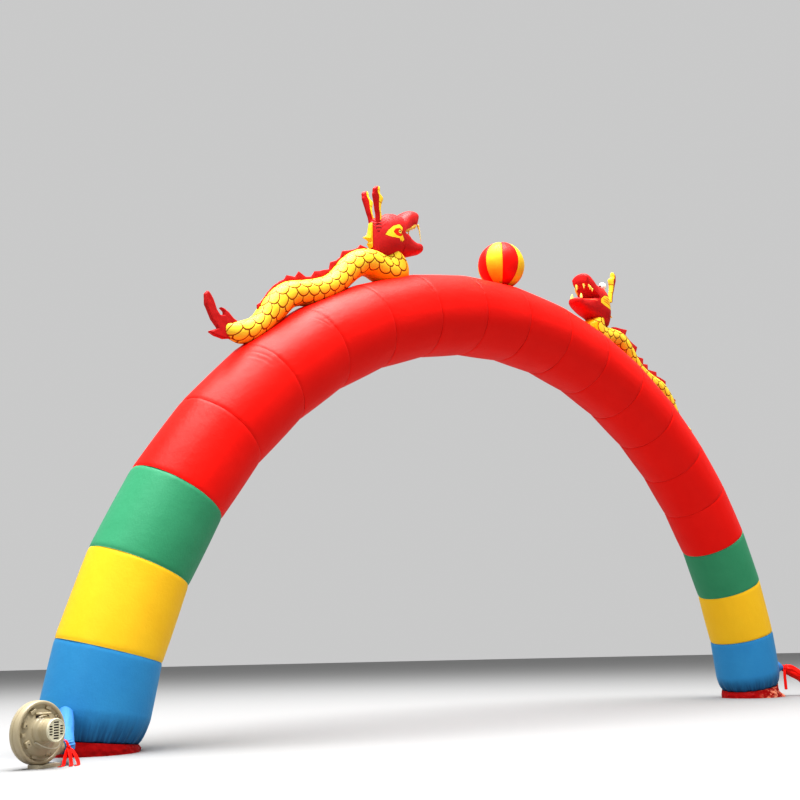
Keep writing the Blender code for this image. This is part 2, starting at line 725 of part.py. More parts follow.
def make_horn(side, hand, name, parent):
    rings = []
    for x, z, half_depth, half_width in HORN_ROWS:
        lean = hand * (HORN_SPREAD[side] + (z - HORN_ROWS[0][1]) * HORN_SPLAY[side])
        z = min(z, HORN_KNEE) + max(0.0, z - HORN_KNEE) * HORN_GROWTH[side, hand]
        centre = dragon_point(side, x + HORN_SHIFT[side], lean, z)
        rings.append(oval_ring(centre, Vector((side * half_depth, 0.0, 0.0)), Vector((0.0, half_width, 0.0)), HORN_SIDES))
    return finish_piece(name, loft(rings), "yellow_cloth", parent)


def make_mane(side, side_name, parent):
    """The spiked mane down the back of the head, thick at its root and thin at its edge."""
    root, middle = MANE_OUTLINE[0][0], (MANE_OUTLINE[0][1] + MANE_OUTLINE[-1][1]) / 2
    rings = []
    for y, reach in MANE_LAYERS:
        flatten = 0.92 + 0.08 * reach
        rings.append([dragon_point(side, root + (x - root) * reach, y, middle + (z - middle) * flatten) for x, z in MANE_OUTLINE])
    finish_piece(f"dragon_{side_name}_ruff", loft(rings), "orange_cloth", parent)


def make_crest(side, side_name, parent):
    """A thin fin along the back, its uneven spikes leaning to the tail."""
    rows = dragon_rows(side)[CREST_FIRST_RING:]
    rings = []
    for (back_x, back_z, belly_x, belly_z, _), (height, lean) in zip(rows, CREST_ROWS[side]):
        back = dragon_point(side, back_x, 0.0, back_z)
        up = (back - dragon_point(side, belly_x, 0.0, belly_z)).normalized()
        tailwards = Vector((up.z * side, 0.0, -up.x * side))
        half = Vector((0.0, CREST_THICKNESS / 2, 0.0))
        foot = back + up * GAP
        tip = back + up * height + tailwards * lean
        rings.append([foot - half, foot + half, tip + half * 0.4, tip - half * 0.4])
    finish_piece(f"dragon_{side_name}_crest", loft(rings), "red_cloth", parent)


def make_tail(side, side_name, parent, body):
    """Three flames on the end of the tail, cut as one outline and filled thicker in the middle."""
    outline = TAIL_OUTLINE if side < 0 else LIMP_TAIL_OUTLINE
    form = bmesh.new()
    verts = [form.verts.new(dragon_point(side, x, -TAIL_EDGE / 2, z)) for x, z in outline]
    face = form.faces.new(verts)
    grown = bmesh.ops.extrude_face_region(form, geom=[face])["geom"]
    moved = [part for part in grown if isinstance(part, bmesh.types.BMVert)]
    bmesh.ops.translate(form, verts=moved, vec=(0.0, TAIL_EDGE, 0.0))
    bmesh.ops.recalc_face_normals(form, faces=form.faces)
    broad = [face for face in form.faces if len(face.verts) == len(outline)]
    bmesh.ops.inset_individual(form, faces=broad, thickness=TAIL_EDGE / 2, depth=TAIL_PUFF)
    tail = finish_piece(f"dragon_{side_name}_tail", form, "red_cloth", parent)
    carve(tail, grown_copy(body, f"dragon_{side_name}_tail_clearance", GAP))


# The blower and its sleeve


def turned(profile, steps, axis_form):
    """A solid turned from a profile of (radius, position along the axis), laid along the blower's axis."""
    form = bmesh.new()
    verts = [form.verts.new((radius, 0.0, position)) for radius, position in profile]
    edges = [form.edges.new((verts[index], verts[index + 1])) for index in range(len(verts) - 1)]
    geometry = verts + edges
    bmesh.ops.spin(form, geom=geometry, axis=(0, 0, 1), cent=(0, 0, 0), angle=2 * math.pi, steps=steps, use_merge=True)
    bmesh.ops.remove_doubles(form, verts=form.verts, dist=1e-5)
    bmesh.ops.transform(form, verts=form.verts, matrix=axis_form)
    return form


def blower_matrix(height=BLOWER_AXIS_HEIGHT):
    """Local z runs out of the motor side along the fan's axis, local x to the outlet, local y up."""
    axis = Vector((math.sin(BLOWER_HEADING), -math.cos(BLOWER_HEADING), 0.0))
    outlet = Vector((math.cos(BLOWER_HEADING), math.sin(BLOWER_HEADING), 0.0))
    up = Vector((0.0, 0.0, 1.0))
    frame = Matrix((outlet, up, axis)).transposed().to_4x4()
    frame.translation = Vector((*BLOWER_PLACE, height))
    return frame


def make_blower(parent):
    """Round plastic housing with a dished face, a motor cowl with a slotted end, an outlet, a foot and a handle."""
    housing = make_housing(parent)
    make_cowl(parent)
    make_foot(parent)
    make_handle(parent, housing)
    make_lead(parent)


def make_housing(parent):
    depth, radius = BLOWER_WIDTH, BLOWER_RADIUS
    profile = [
        (0.0, -depth),
        (radius * 0.62, -depth),
        (radius * 0.88, -depth * 0.96),
        (radius * 0.98, -depth * 0.84),
        (radius, -depth * 0.70),
        (radius, -0.022),
        (radius - 0.006, -0.004),
        (radius - 0.018, 0.0),
        (radius - 0.034, -0.004),
        (radius - 0.040, -0.022),
        (radius - 0.060, -0.026),
        (radius - 0.075, -0.014),
        (0.142, 0.002),
        (0.132, 0.012),
        (0.0, 0.012),
    ]
    housing = finish_piece("blower_housing", turned(profile, BLOWER_SIDES, blower_matrix()), "olive_plastic", parent)
    duct = finish_piece("outlet_shape", outlet_form(), "olive_plastic", parent)
    combine(housing, duct, "UNION")
    return housing


def outlet_form():
    """The outlet: a duct from low in the housing that turns round where the sleeve goes on."""
    mouth = Vector(SLEEVE_ROWS[0][:3])
    along = (Vector(SLEEVE_ROWS[1][:3]) - mouth).normalized()
    up = Vector((0.0, 0.0, 1.0))
    across = along.cross(up).normalized()
    rings = []
    for back, half_height, half_width, squareness in OUTLET_ROWS:
        rings.append(oval_ring(mouth - along * back, up * half_height, across * half_width, OUTLET_SIDES, squareness))
    return loft(rings)


def make_cowl(parent):
    """Motor cowl: a barrel on the face, and its slotted end as a disc of its own."""
    start, end, radius = 0.012 + GAP, COWL_END, COWL_RADIUS
    profile = [
        (0.0, start),
        (0.124, start),
        (0.118, start + 0.016),
        (radius + 0.006, start + 0.030),
        (radius, start + 0.045),
        (radius, end - 0.012),
        (radius - 0.006, end),
        (0.0, end),
    ]
    frame = blower_matrix(BLOWER_AXIS_HEIGHT + COWL_LIFT)
    finish_piece("blower_cowl", turned(profile, COWL_SIDES, frame), "olive_plastic", parent)
    disc = [
        (0.0, end + GAP),
        (radius - 0.008, end + GAP),
        (radius - 0.008, end + 0.006),
        (radius - 0.018, end + 0.012),
        (0.0, end + 0.012),
    ]
    grille = finish_piece("blower_grille", turned(disc, COWL_SIDES, frame), "pale_plastic", parent)
    slots = bmesh.new()
    for column, half_width, count in SLOT_ROWS:
        for row in range(count):
            height = COWL_LIFT + (row - (count - 1) / 2) * SLOT_PITCH
            cube = bmesh.ops.create_cube(slots, size=1.0)["verts"]
            bmesh.ops.scale(slots, verts=cube, vec=(2 * half_width, SLOT_HEIGHT, 0.04))
            bmesh.ops.translate(slots, verts=cube, vec=(column, height, end + 0.026))
    bmesh.ops.transform(slots, verts=slots.verts, matrix=blower_matrix())
    cutter = finish_piece("grille_slots", slots, "pale_plastic", parent)
    carve(grille, cutter)


def make_foot(parent):
    """A low cradle under the housing, flat on the ground."""
    clear = BLOWER_RADIUS + 2 * GAP
    outline = [(FOOT_LEFT, -BLOWER_AXIS_HEIGHT), (FOOT_RIGHT, -BLOWER_AXIS_HEIGHT)]
    steps = 12
    for step in range(steps + 1):
        x = FOOT_RIGHT + (FOOT_LEFT - FOOT_RIGHT) * step / steps
        outline.append((x, min(FOOT_HEIGHT - BLOWER_AXIS_HEIGHT, -math.sqrt(clear**2 - x * x))))
    form = bmesh.new()
    face = form.faces.new([form.verts.new((x, y, FOOT_BACK)) for x, y in outline])
    grown = bmesh.ops.extrude_face_region(form, geom=[face])["geom"]
    moved = [part for part in grown if isinstance(part, bmesh.types.BMVert)]
    bmesh.ops.translate(form, verts=moved, vec=(0.0, 0.0, FOOT_FRONT - FOOT_BACK))
    bmesh.ops.transform(form, verts=form.verts, matrix=blower_matrix())
    finish_piece("blower_foot", form, "pale_plastic", parent)


def make_handle(parent, housing):
    """A moulded grip over the cowl, its two ends standing on the face."""
    frame = blower_matrix()
    rows = [(*(frame @ Vector((x, HANDLE_HEIGHT, out))), HANDLE_RADIUS) for x, out in HANDLE_ROWS]
    handle = finish_piece("blower_handle", loft(swept_rings(rows, HANDLE_SIDES)), "olive_plastic", parent)
    carve(handle, grown_copy(housing, "blower_handle_clearance", GAP))


def make_lead(parent):
    """The motor's lead, from under the cowl round to its side."""
    frame = blower_matrix()
    rows = [(*(frame @ Vector(row)), LEAD_RADIUS) for row in LEAD_ROWS]
    finish_piece("blower_lead", loft(swept_rings(rows, LEAD_SIDES)), "pale_rubber", parent)


def swept_rings(rows, sides):
    """Rings square to a path of (x, y, z, radius) rows."""
    rings = []
    for index, (x, y, z, radius) in enumerate(rows):
        before, after = rows[max(index - 1, 0)], rows[min(index + 1, len(rows) - 1)]
        along = (Vector(after[:3]) - Vector(before[:3])).normalized()
        across = along.cross(Vector((0.0, 0.0, 1.0))).normalized()
        rise = across.cross(along)
        rings.append(oval_ring(Vector((x, y, z)), rise * radius, across * radius, sides))
    return rings


def make_sleeve(parent, clearance):
    """The inflation sleeve between the blower's outlet and the left leg, and the strap that ties it on."""
    rows = [SLEEVE_ROWS[0]] + smooth_rows(SLEEVE_ROWS[1:], 2)
    sleeve = finish_piece("inflation_sleeve", loft(swept_rings(rows, SLEEVE_SIDES)), "pale_blue_cloth", parent)
    carve(sleeve, clearance)
    mouth, neck = Vector(SLEEVE_ROWS[0][:3]), Vector(SLEEVE_ROWS[1][:3])
    rows = [(*mouth.lerp(neck, share), SLEEVE_NECK_RADIUS + TIE_THICKNESS) for share in (0.15, 0.85)]
    strap = finish_piece("sleeve_tie", loft(swept_rings(rows, SLEEVE_SIDES)), "red_cloth", parent)
    along = (neck - mouth).normalized()
    knot = bmesh.new()
    bmesh.ops.create_icosphere(knot, subdivisions=1, radius=KNOT_SIZE / 2)
    bmesh.ops.translate(knot, verts=knot.verts, vec=TIE_KNOT)
    combine(strap, finish_piece("sleeve_tie_knot", knot, "red_cloth", parent), "UNION")
    for index, path in enumerate(TIE_END_ROWS):
        loose = finish_piece(f"sleeve_tie_end_{index + 1}", ribbon(path, along * TIE_END_WIDTH / 2), "red_cloth", parent)
        combine(strap, loose, "UNION")
    carve(strap, grown_copy(sleeve, "sleeve_tie_clearance", GAP))


def ribbon(path, wide):
    """A strap along a path, always as wide as twice the given vector."""
    rings = []
    for index, point in enumerate(path):
        before, after = Vector(path[max(index - 1, 0)]), Vector(path[min(index + 1, len(path) - 1)])
        thick = (after - before).cross(wide).normalized() * TIE_THICKNESS / 2
        middle = Vector(point)
        rings.append([middle - wide - thick, middle + wide - thick, middle + wide + thick, middle - wide + thick])
    return loft(rings)


def spare_point(distance, across, z):
    """A point beside the right leg, out along the unused sleeve."""
    foot = leg_points(1)[-1]
    out = Vector((math.cos(SPARE_HEADING), math.sin(SPARE_HEADING), 0.0))
    sideways = Vector((-math.sin(SPARE_HEADING), math.cos(SPARE_HEADING), 0.0))
    return Vector((foot.x, 0.0, z)) + out * distance + sideways * across


def spare_rings(rows, sides, ruffle):
    rings = []
    for index, (distance, z, half_height, half_width) in enumerate(rows):
        before, after = rows[max(index - 1, 0)], rows[min(index + 1, len(rows) - 1)]
        run, fall = after[0] - before[0], after[1] - before[1]
        length = math.hypot(run, fall)
        ring = []
        for step in range(sides):
            turn = 2 * math.pi * step / sides
            crumple = 1.0 + ruffle * math.cos(step * math.pi + index * math.pi / 2) * min(1.0, index / 2)
            rise = half_height * crumple * math.cos(turn)
            point = spare_point(distance - rise * fall / length, half_width * math.sin(turn), z + rise * run / length)
            point.z = max(point.z, 0.0)
            ring.append(point)
        rings.append(ring)
    return rings


def make_spare_sleeve(parent, clearance):
    """The unused sleeve on the right leg: a blue stub, tied off, and its limp red end lying out to the ground."""
    stub = finish_piece("spare_sleeve_stub", loft(spare_rings(STUB_ROWS, SLEEVE_SIDES, 0.0)), "pale_blue_cloth", parent)
    carve(stub, clearance)
    rows = LIMP_ROWS[:2] + smooth_rows(LIMP_ROWS[2:], 2)
    end = finish_piece("spare_sleeve_end", loft(spare_rings(rows, SLEEVE_SIDES, LIMP_RUFFLE)), "red_cloth", parent)
    strap = finish_piece("spare_tie", loft(spare_rings(SPARE_TIE_ROWS, SLEEVE_SIDES, 0.0)), "red_cloth", parent)
    wide = (spare_point(1.0, 0.0, 0.0) - spare_point(0.0, 0.0, 0.0)) * TIE_WIDTH / 2
    path = [spare_point(*row) for row in SPARE_TIE_END_ROWS]
    combine(strap, finish_piece("spare_tie_loose_end", ribbon(path, wide), "red_cloth", parent), "UNION")
    carve(strap, grown_copy(stub, "spare_tie_stub_clearance", GAP))
    carve(strap, grown_copy(end, "spare_tie_end_clearance", GAP))


def make_root():
    root = bpy.data.objects.new("arch_middle", None)
    bpy.context.scene.collection.objects.link(root)
    root.location = (*ARCH_CENTRE, 0.0)
    return root


def main():
    for old in list(bpy.data.objects):
        bpy.data.objects.remove(old)
    root = make_root()
    clearance = make_clearance(root)
    make_arch(root)
    make_ball(root)
    for side, side_name in ((-1, "left"), (1, "right")):
        make_dragon(side, side_name, root, clearance)
    make_blower(root)
    make_sleeve(root, clearance)
    make_spare_sleeve(root, clearance)


main()
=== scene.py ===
"""Looks of the inflatable arch: sewn tube, ball, dragons, blower and sleeves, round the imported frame."""

import bisect
import math

import bmesh
import bpy
from mathutils import Matrix, Vector, noise


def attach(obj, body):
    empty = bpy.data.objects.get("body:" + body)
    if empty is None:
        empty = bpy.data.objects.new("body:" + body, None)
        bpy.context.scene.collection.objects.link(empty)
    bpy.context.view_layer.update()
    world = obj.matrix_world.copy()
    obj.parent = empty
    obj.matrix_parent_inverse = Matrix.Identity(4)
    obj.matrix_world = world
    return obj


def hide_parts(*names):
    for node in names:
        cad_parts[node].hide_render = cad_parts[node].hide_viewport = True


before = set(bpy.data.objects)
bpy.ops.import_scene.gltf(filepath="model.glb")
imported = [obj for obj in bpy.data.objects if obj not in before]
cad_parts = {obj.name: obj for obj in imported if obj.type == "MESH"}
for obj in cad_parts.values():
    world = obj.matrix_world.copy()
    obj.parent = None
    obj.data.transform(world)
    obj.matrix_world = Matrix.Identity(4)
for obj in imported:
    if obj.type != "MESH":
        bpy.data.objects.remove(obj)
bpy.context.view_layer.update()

# Sizes that the pieces share with the solids, in metres
GAP = 0.0003
ARCH_MIDDLE = Vector((0.001, 0.357, 0.0))
TUBE_RADIUS = 0.53
PANEL_LENGTH = 0.90
PANELS_PER_LEG = 10
PANEL_TURN = math.radians(8.1)
PANEL_SLOTS = ["red_cloth"] * 7 + ["green_cloth", "yellow_cloth", "blue_cloth"]  # from the apex down a leg
SEAM_PINCH = 0.985
SEAM_TRIMS = {  # the lower seams as sewn: shift down the leg, lean to its outer side, lean to the back
    -1: (0.008, math.radians(3.4), math.radians(-5.4)),
    1: (-0.080, math.radians(1.5), math.radians(1.3)),
}
TRIM_SHARES = {  # how much of that each seam has, counted from the apex
    -1: [0.0] * 6 + [0.6, 1.0, 1.0, 1.0, 0.0],
    1: [0.0] * 6 + [0.6, 0.9, 1.0, 1.0, 0.0],
}
TRIM_REACH = 0.7  # share of a panel over which a seam's lean fades out
SKIRT_HEIGHTS = {-1: 0.105, 1: 0.185}
SKIRT_TILTS = {-1: math.radians(6.0), 1: math.radians(10.5)}
SKIRT_PINCH = 0.865
SKIRT_RADIUS = 0.485
SKIRT_FOLDS = 18
SIDES = {-1: "left", 1: "right"}

BALL_RADIUS = 0.33
BALL_GORES = 8
BALL_FLAT_RADIUS = 0.09

BLOWER_AXIS_HEIGHT = 0.292
BLOWER_PLACE = (-7.307, -1.066)
BLOWER_HEADING = math.radians(17.0)
COWL_LIFT = 0.022

# Camera, from the photograph's perspective
CAMERA_PLACE = (-11.959, -9.955, 0.883)
CAMERA_YAW, CAMERA_PITCH, CAMERA_ROLL = math.radians(45.518), math.radians(7.330), math.radians(-1.269)
CAMERA_LENS, CAMERA_SENSOR = 51.66, 36.0
CAMERA_SHIFT = (-0.0431, 0.1316)
FLOOR_RADIUS = 120.0


# Shapes


def blend_in(low, high, value):
    """0 below low, 1 above high, and a smooth change between them."""
    share = min(1.0, max(0.0, (value - low) / (high - low)))
    return share * share * (3.0 - 2.0 * share)


def fade(distance, width, power=2.0):
    """1 at no distance, and close to 0 from two widths away."""
    return math.exp(-(abs(distance / width) ** power))


def lumps(x, y, z):
    """Smooth unevenness, about one lump to a unit."""
    return noise.noise(Vector((x, y, z)))


def ring_lumps(turn, count, along):
    """Unevenness that joins up round a ring; more count makes smaller lumps."""
    return lumps(math.cos(turn) * count, math.sin(turn) * count, along)


def along_rows(rows, share):
    """A row of the table at any share of its length, on a smooth curve through every column."""
    place = share * (len(rows) - 1)
    index = min(int(place), len(rows) - 2)
    t = place - index
    before, start = rows[max(index - 1, 0)], rows[index]
    end, after = rows[index + 1], rows[min(index + 2, len(rows) - 1)]
    return [
        0.5 * (2 * b + (c - a) * t + (2 * a - 5 * b + 4 * c - d) * t * t + (3 * b - a - 3 * c + d) * t**3)
        for a, b, c, d in zip(before, start, end, after)
    ]


def path_at(rows, share):
    """Place and direction on the curve through the rows' first three columns."""
    before, middle, after = (
        Vector(along_rows(rows, min(1.0, max(0.0, share + step)))[:3]) for step in (-0.01, 0.0, 0.01)
    )
    return middle, (after - before).normalized()


def read_off(table, value):
    """The table's second column where its first has that value, on straight lines between the rows."""
    for (start, at_start), (end, at_end) in zip(table, table[1:]):
        if min(start, end) <= value <= max(start, end):
            return at_start + (at_end - at_start) * (value - start) / (end - start)
    return 0.0


def oval(turn, squareness=1.0):
    """Rise and reach on a unit oval whose corners fill up as squareness falls under 1."""
    return [math.copysign(abs(part) ** squareness, part) for part in (math.cos(turn), math.sin(turn))]


def rolled_cloth(around, along, place, wide=1.0, long=1.0, print_on=None):
    """A flat grid rolled up by place(share round, share along), its ends closed and its UV map in metres."""
    print_on = print_on or (lambda across, length: (across * wide, length * long))
    form = bmesh.new()
    layer = form.loops.layers.uv.new("UVMap")
    bmesh.ops.create_grid(form, x_segments=around, y_segments=along, size=0.5, calc_uvs=True)
    for vert in form.verts:
        vert.co = place(vert.co.x + 0.5, vert.co.y + 0.5)
    for face in form.faces:
        for loop in face.loops:
            loop[layer].uv = print_on(*loop[layer].uv)
    bmesh.ops.remove_doubles(form, verts=form.verts, dist=1e-5)
    bmesh.ops.dissolve_degenerate(form, edges=form.edges, dist=1e-6)
    bmesh.ops.holes_fill(form, edges=[edge for edge in form.edges if edge.is_boundary])
    bmesh.ops.recalc_face_normals(form, faces=form.faces)
    return form


def swept(rows, sides, steps, shape=None, wide=0.3, long=1.0):
    """A round form along (x, y, z, radius) rows in world places; shape may change a point's radius."""

    def place(around, along):
        turn = math.tau * around
        middle, run = path_at(rows, along)
        radius = along_rows(rows, along)[3]
        across = run.cross(Vector((0.0, 0.0, 1.0))).normalized()
        rise = across.cross(run)
        if shape:
            radius = shape(turn, along, radius)
        return middle + rise * radius * math.cos(turn) + across * radius * math.sin(turn)

    return rolled_cloth(sides, steps, place, wide, long)


def turned(profile, steps, place):
    """A shape spun from (radius, position along the axis), its ends on the axis."""
    form = bmesh.new()
    verts = [form.verts.new((radius, 0.0, position)) for radius, position in profile]
    edges = [form.edges.new(pair) for pair in zip(verts, verts[1:])]
    spin = {"axis": (0, 0, 1), "cent": (0, 0, 0), "angle": math.tau}
    bmesh.ops.spin(form, geom=verts + edges, steps=steps, use_merge=True, **spin)
    bmesh.ops.remove_doubles(form, verts=form.verts, dist=1e-5)
    bmesh.ops.recalc_face_normals(form, faces=form.faces)
    bmesh.ops.transform(form, verts=form.verts, matrix=place)
    return form


def mesh_of(form, name="part"):
    """The form as a mesh."""
    mesh = bpy.data.meshes.new(name)
    form.to_mesh(mesh)
    form.free()
    return mesh


def joined(forms):
    """Several forms in one."""
    whole = bmesh.new()
    for form in forms:
        part = mesh_of(form)
        whole.from_mesh(part)
        bpy.data.meshes.remove(part)
    return whole


def linked(name, data):
    """A new object in the scene."""
    thing = bpy.data.objects.new(name, data)
    bpy.context.scene.collection.objects.link(thing)
    return thing


def finish_piece(name, form, finish, node=None, sharp=60.0):
    """The form becomes one smooth-shaded piece of the arch, in place of a node where one is named."""
    mesh = mesh_of(form, name)
    mesh.shade_smooth()
    mesh.set_sharp_from_angle(angle=math.radians(sharp))
    mesh.materials.append(finish.material)
    piece = linked(name, mesh)
    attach(piece, "root")
    if node:
        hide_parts(node)


def cloth_piece(node, form, finish, sharp=60.0):
    """A padded piece named after the node that it replaces."""
    finish_piece(f"cloth_{node}", form, finish, node, sharp)


# Finishes


def feed(tree, socket, value):
    """Link a socket to a Value, or set it to a number or a colour."""
    if isinstance(value, Value):
        tree.links.new(value.socket, socket)
    else:
        socket.default_value = (*value, 1.0) if socket.type == "RGBA" else value


def maths(operation, swapped=False):
    """A method of Value that feeds it, and what else it is given, to a new Math node."""

    def method(value, *others):
        made = value.tree.nodes.new("ShaderNodeMath")
        made.operation = operation
        for socket, term in zip(made.inputs, (*others, value) if swapped else (value, *others)):
            feed(value.tree, socket, term)
        return Value(value.tree, made.outputs[0])

    return method


class Value:
    """An output in a finish's node tree. Sums and comparisons with it are Math nodes."""

    def __init__(self, tree, socket):
        self.tree, self.socket = tree, socket

    __add__ = __radd__ = maths("ADD")
    __mul__ = __rmul__ = maths("MULTIPLY")
    __sub__ = maths("SUBTRACT")
    __rsub__ = maths("SUBTRACT", swapped=True)
    __truediv__ = maths("DIVIDE")
    __mod__ = maths("FLOORED_MODULO")
    __pow__ = maths("POWER")
    __abs__ = maths("ABSOLUTE")
    __lt__ = maths("LESS_THAN")
    __gt__ = maths("GREATER_THAN")
    least = maths("MINIMUM")
    most = maths("MAXIMUM")
    line = maths("MULTIPLY_ADD")
    floor = maths("FLOOR")
    ceil = maths("CEIL")
    fraction = maths("FRACT")
    sine = maths("SINE")
    root = maths("SQRT")


def held(value):
    """The value kept between 0 and 1."""
    value.socket.node.use_clamp = True
    return value


class Finish:
    """A material whose colour and relief are laid on layer by layer."""

    def __init__(self, name, colour):
        self.material = bpy.data.materials.new(name)
        self.material.use_nodes = True
        self.tree = self.material.node_tree
        self.shader = self.tree.nodes["Principled BSDF"]
        self.base = colour
        self.give("Base Color", colour)

    def give(self, name, value):
        """Set or link one of the shader's own sockets."""
        feed(self.tree, self.shader.inputs[name], value)

    def node(self, kind, output, **inputs):
        """One output of a new node, its inputs given by name."""
        made = self.tree.nodes.new(kind)
        for name, value in inputs.items():
            feed(self.tree, made.inputs[name], value)
        return Value(self.tree, made.outputs[output])

    def places(self, source):
        """The three parts of the Object coordinates, or of the UV map in metres."""
        split = self.tree.nodes.new("ShaderNodeSeparateXYZ")
        feed(self.tree, split.inputs[0], self.node("ShaderNodeTexCoord", source))
        return [Value(self.tree, output) for output in split.outputs]

    def mottle(self, scale, detail=3.0, roughness=0.55, stretch=None, source="Object"):
        """Noise of about that many lumps to the metre."""
        place = self.node("ShaderNodeTexCoord", source)
        if stretch:
            place = self.node("ShaderNodeMapping", 0, Vector=place, Scale=stretch)
        inputs = {"Vector": place, "Scale": scale, "Detail": detail, "Roughness": roughness}
        return self.node("ShaderNodeTexNoise", "Fac", **inputs)

    def tint(self, amount, first, second):
        """A colour between two."""
        made = self.tree.nodes.new("ShaderNodeMix")
        made.data_type = "RGBA"
        for index, value in ((0, amount), (6, first), (7, second)):
            feed(self.tree, made.inputs[index], value)
        return Value(self.tree, made.outputs[2])

    def paint(self, amount, colour):
        """Lay a colour over the colour so far."""
        self.base = self.tint(amount, self.base, colour)
        self.give("Base Color", self.base)

    def emboss(self, height, distance, strength):
        """Lay relief over the relief so far."""
        inputs = {"Height": height, "Distance": distance, "Strength": strength}
        for link in self.shader.inputs["Normal"].links:
            inputs["Normal"] = Value(self.tree, link.from_socket)
        self.give("Normal", self.node("ShaderNodeBump", 0, **inputs))


CLOTHS = {  # slot: lit colour, deep colour
    "red_cloth": ((0.82, 0.022, 0.013), (0.70, 0.005, 0.003)),
    "green_cloth": ((0.078, 0.34, 0.190), (0.030, 0.210, 0.100)),
    "yellow_cloth": ((0.85, 0.56, 0.040), (0.80, 0.44, 0.016)),
    "blue_cloth": ((0.062, 0.31, 0.55), (0.026, 0.18, 0.41)),
    "pale_blue_cloth": ((0.085, 0.25, 0.52), (0.05, 0.18, 0.42)),
    "orange_cloth": ((0.92, 0.54, 0.04), (0.90, 0.34, 0.015)),
}
SEAM_EDGES = {
    "red_cloth": (0.40, 0.0, 0.0),
    "green_cloth": (0.35, 0.72, 0.48),
    "yellow_cloth": (0.95, 0.84, 0.40),
    "blue_cloth": (0.03, 0.12, 0.33),
}
EDGE_WIDTH, STITCH_FROM_SEAM, STITCH_HALF_WIDTH, STITCHES_PER_METRE = 0.004, 0.0125, 0.0009, 250.0
THREAD_WAVES = 628.0  # radians to the metre, so that a thicker thread comes every 5 mm
GATHER_SHADE, GATHER_REACH = (0.012, 0.028, 0.085), 0.30  # painted shade where the blue panel is gathered onto its skirt, and how far up the panel it reaches
NYLON_SHINE = 0.16


def cloth_finish(name, colour, deep, edge=None, shade=None):
    """Coated nylon, mottled and crumpled, with ripstop threads; an edge colour brings stitched seams, and a
    shade colour lays painted shade in streaks at a panel's gathered foot.
    """
    cloth = Finish(name, colour)
    across, along, _ = cloth.places("UV")
    cloth.paint(cloth.mottle(2.2, 4.0) * 0.55, deep)
    cloth.paint(cloth.mottle(60.0, 2.0) * 0.16, deep)
    cloth.emboss(cloth.mottle(9.0, 5.0, 0.6), 0.012, 0.35)
    cloth.emboss(cloth.mottle(45.0, 3.0, 0.6), 0.0025, 0.45)
    if edge:
        from_seam = along.least(PANEL_LENGTH - along)
        cloth.paint((from_seam < EDGE_WIDTH) * 0.75, edge)
        dash = (across * STITCHES_PER_METRE).fraction() < 0.62
        stitch = dash * (abs(from_seam - STITCH_FROM_SEAM) < STITCH_HALF_WIDTH)
        cloth.paint(stitch * 0.55, deep)
        cloth.emboss(stitch, 0.0012, 0.6)
    # painted shade: the foot of the panel is darkened in streaks where its gathers fold
    if shade:
        shade_streaks = cloth.mottle(1.0, 3.0, 0.6, (26.0, 2.2, 1.0), "UV")
        low = held((along - (PANEL_LENGTH - GATHER_REACH)) / GATHER_REACH)
        cloth.paint(held(low * shade_streaks.line(1.5, -0.15)), shade)
    threads = [abs((part * THREAD_WAVES).sine()) ** 8.0 for part in (across, along)]
    cloth.emboss(threads[0].most(threads[1]), 0.0003, 0.35)
    cloth.give("Roughness", cloth.mottle(3.0, 3.0) * 0.14 + 0.39)
    cloth.give("Specular IOR Level", NYLON_SHINE)
    return cloth


def crumpled_finish(name, colour, deep, pale):
    """The right skirt's cloth, with pale painted highlights on its crumples where the strap hangs over it."""
    cloth = cloth_finish(name, colour, deep)
    x, y, _ = cloth.places("Object")
    foot = ARCH_MIDDLE + Vector((leg_points(1)[-1].x, 0.0, 0.0))
    ahead, aside = math.cos(FLAP_TURN), math.sin(FLAP_TURN)
    away = y.line(aside, x.line(ahead, -foot.x * ahead - foot.y * aside))
    folds = held((cloth.mottle(9.0, 4.0, 0.7, (1.0, 1.0, 1.8)) - 0.47) * 8.0)
    # painted highlight: pale patches on the crumples of the loose flap
    cloth.paint(held((away + 0.02) * 4.0) * folds, pale)
    return cloth


def plastic_finish(name, colour, dusty, roughness):
    """Moulded plastic: fine grain, darker brown low down as dust and painted shade, softer gloss where it is
    rubbed.
    """
    plastic = Finish(name, colour)
    low = held(1.0 - plastic.places("Object")[2] * 4.0)
    plastic.paint(plastic.mottle(9.0, 4.0) * 0.35, dusty)
    # darker brown low down: a little dust, and painted shade on the lower part
    plastic.paint(low * plastic.mottle(24.0, 4.0) * 0.9, (0.24, 0.165, 0.105))
    plastic.give("Roughness", plastic.mottle(30.0, 3.0) * 0.14 + (roughness - 0.06))
    plastic.emboss(plastic.mottle(420.0, 2.0), 0.0006, 0.35)
    plastic.emboss(plastic.mottle(30.0, 3.0), 0.0015, 0.2)
    return plastic


# The tube


def leg_points(side):
    """Seam middles down one leg from the apex: distance from the middle of the arch and height."""
    points = [Vector((0.0, 0.0))]
    for panel in range(PANELS_PER_LEG):
        slope = (panel + 0.5) * PANEL_TURN
        points.append(points[-1] + PANEL_LENGTH * Vector((math.cos(slope), -math.sin(slope))))
    lift = SKIRT_HEIGHTS[-1] - points[-1].y
    points = [point + Vector((0.0, lift)) for point in points]
    step = points[-1] - points[-2]
    points[-1] = points[-2] + step * (SKIRT_HEIGHTS[side] - points[-2].y) / step.y
    return points


def seam_trim(side, seam):
    """Shift, lean to the outer side and lean to the back of one seam."""
    return [part * TRIM_SHARES[side][seam] for part in SEAM_TRIMS[side]]


def bottom_tilt(side):
    """How far a leg's last seam leans from square to the tube."""
    return math.pi / 2 - (PANELS_PER_LEG - 0.5) * PANEL_TURN - SKIRT_TILTS[side]


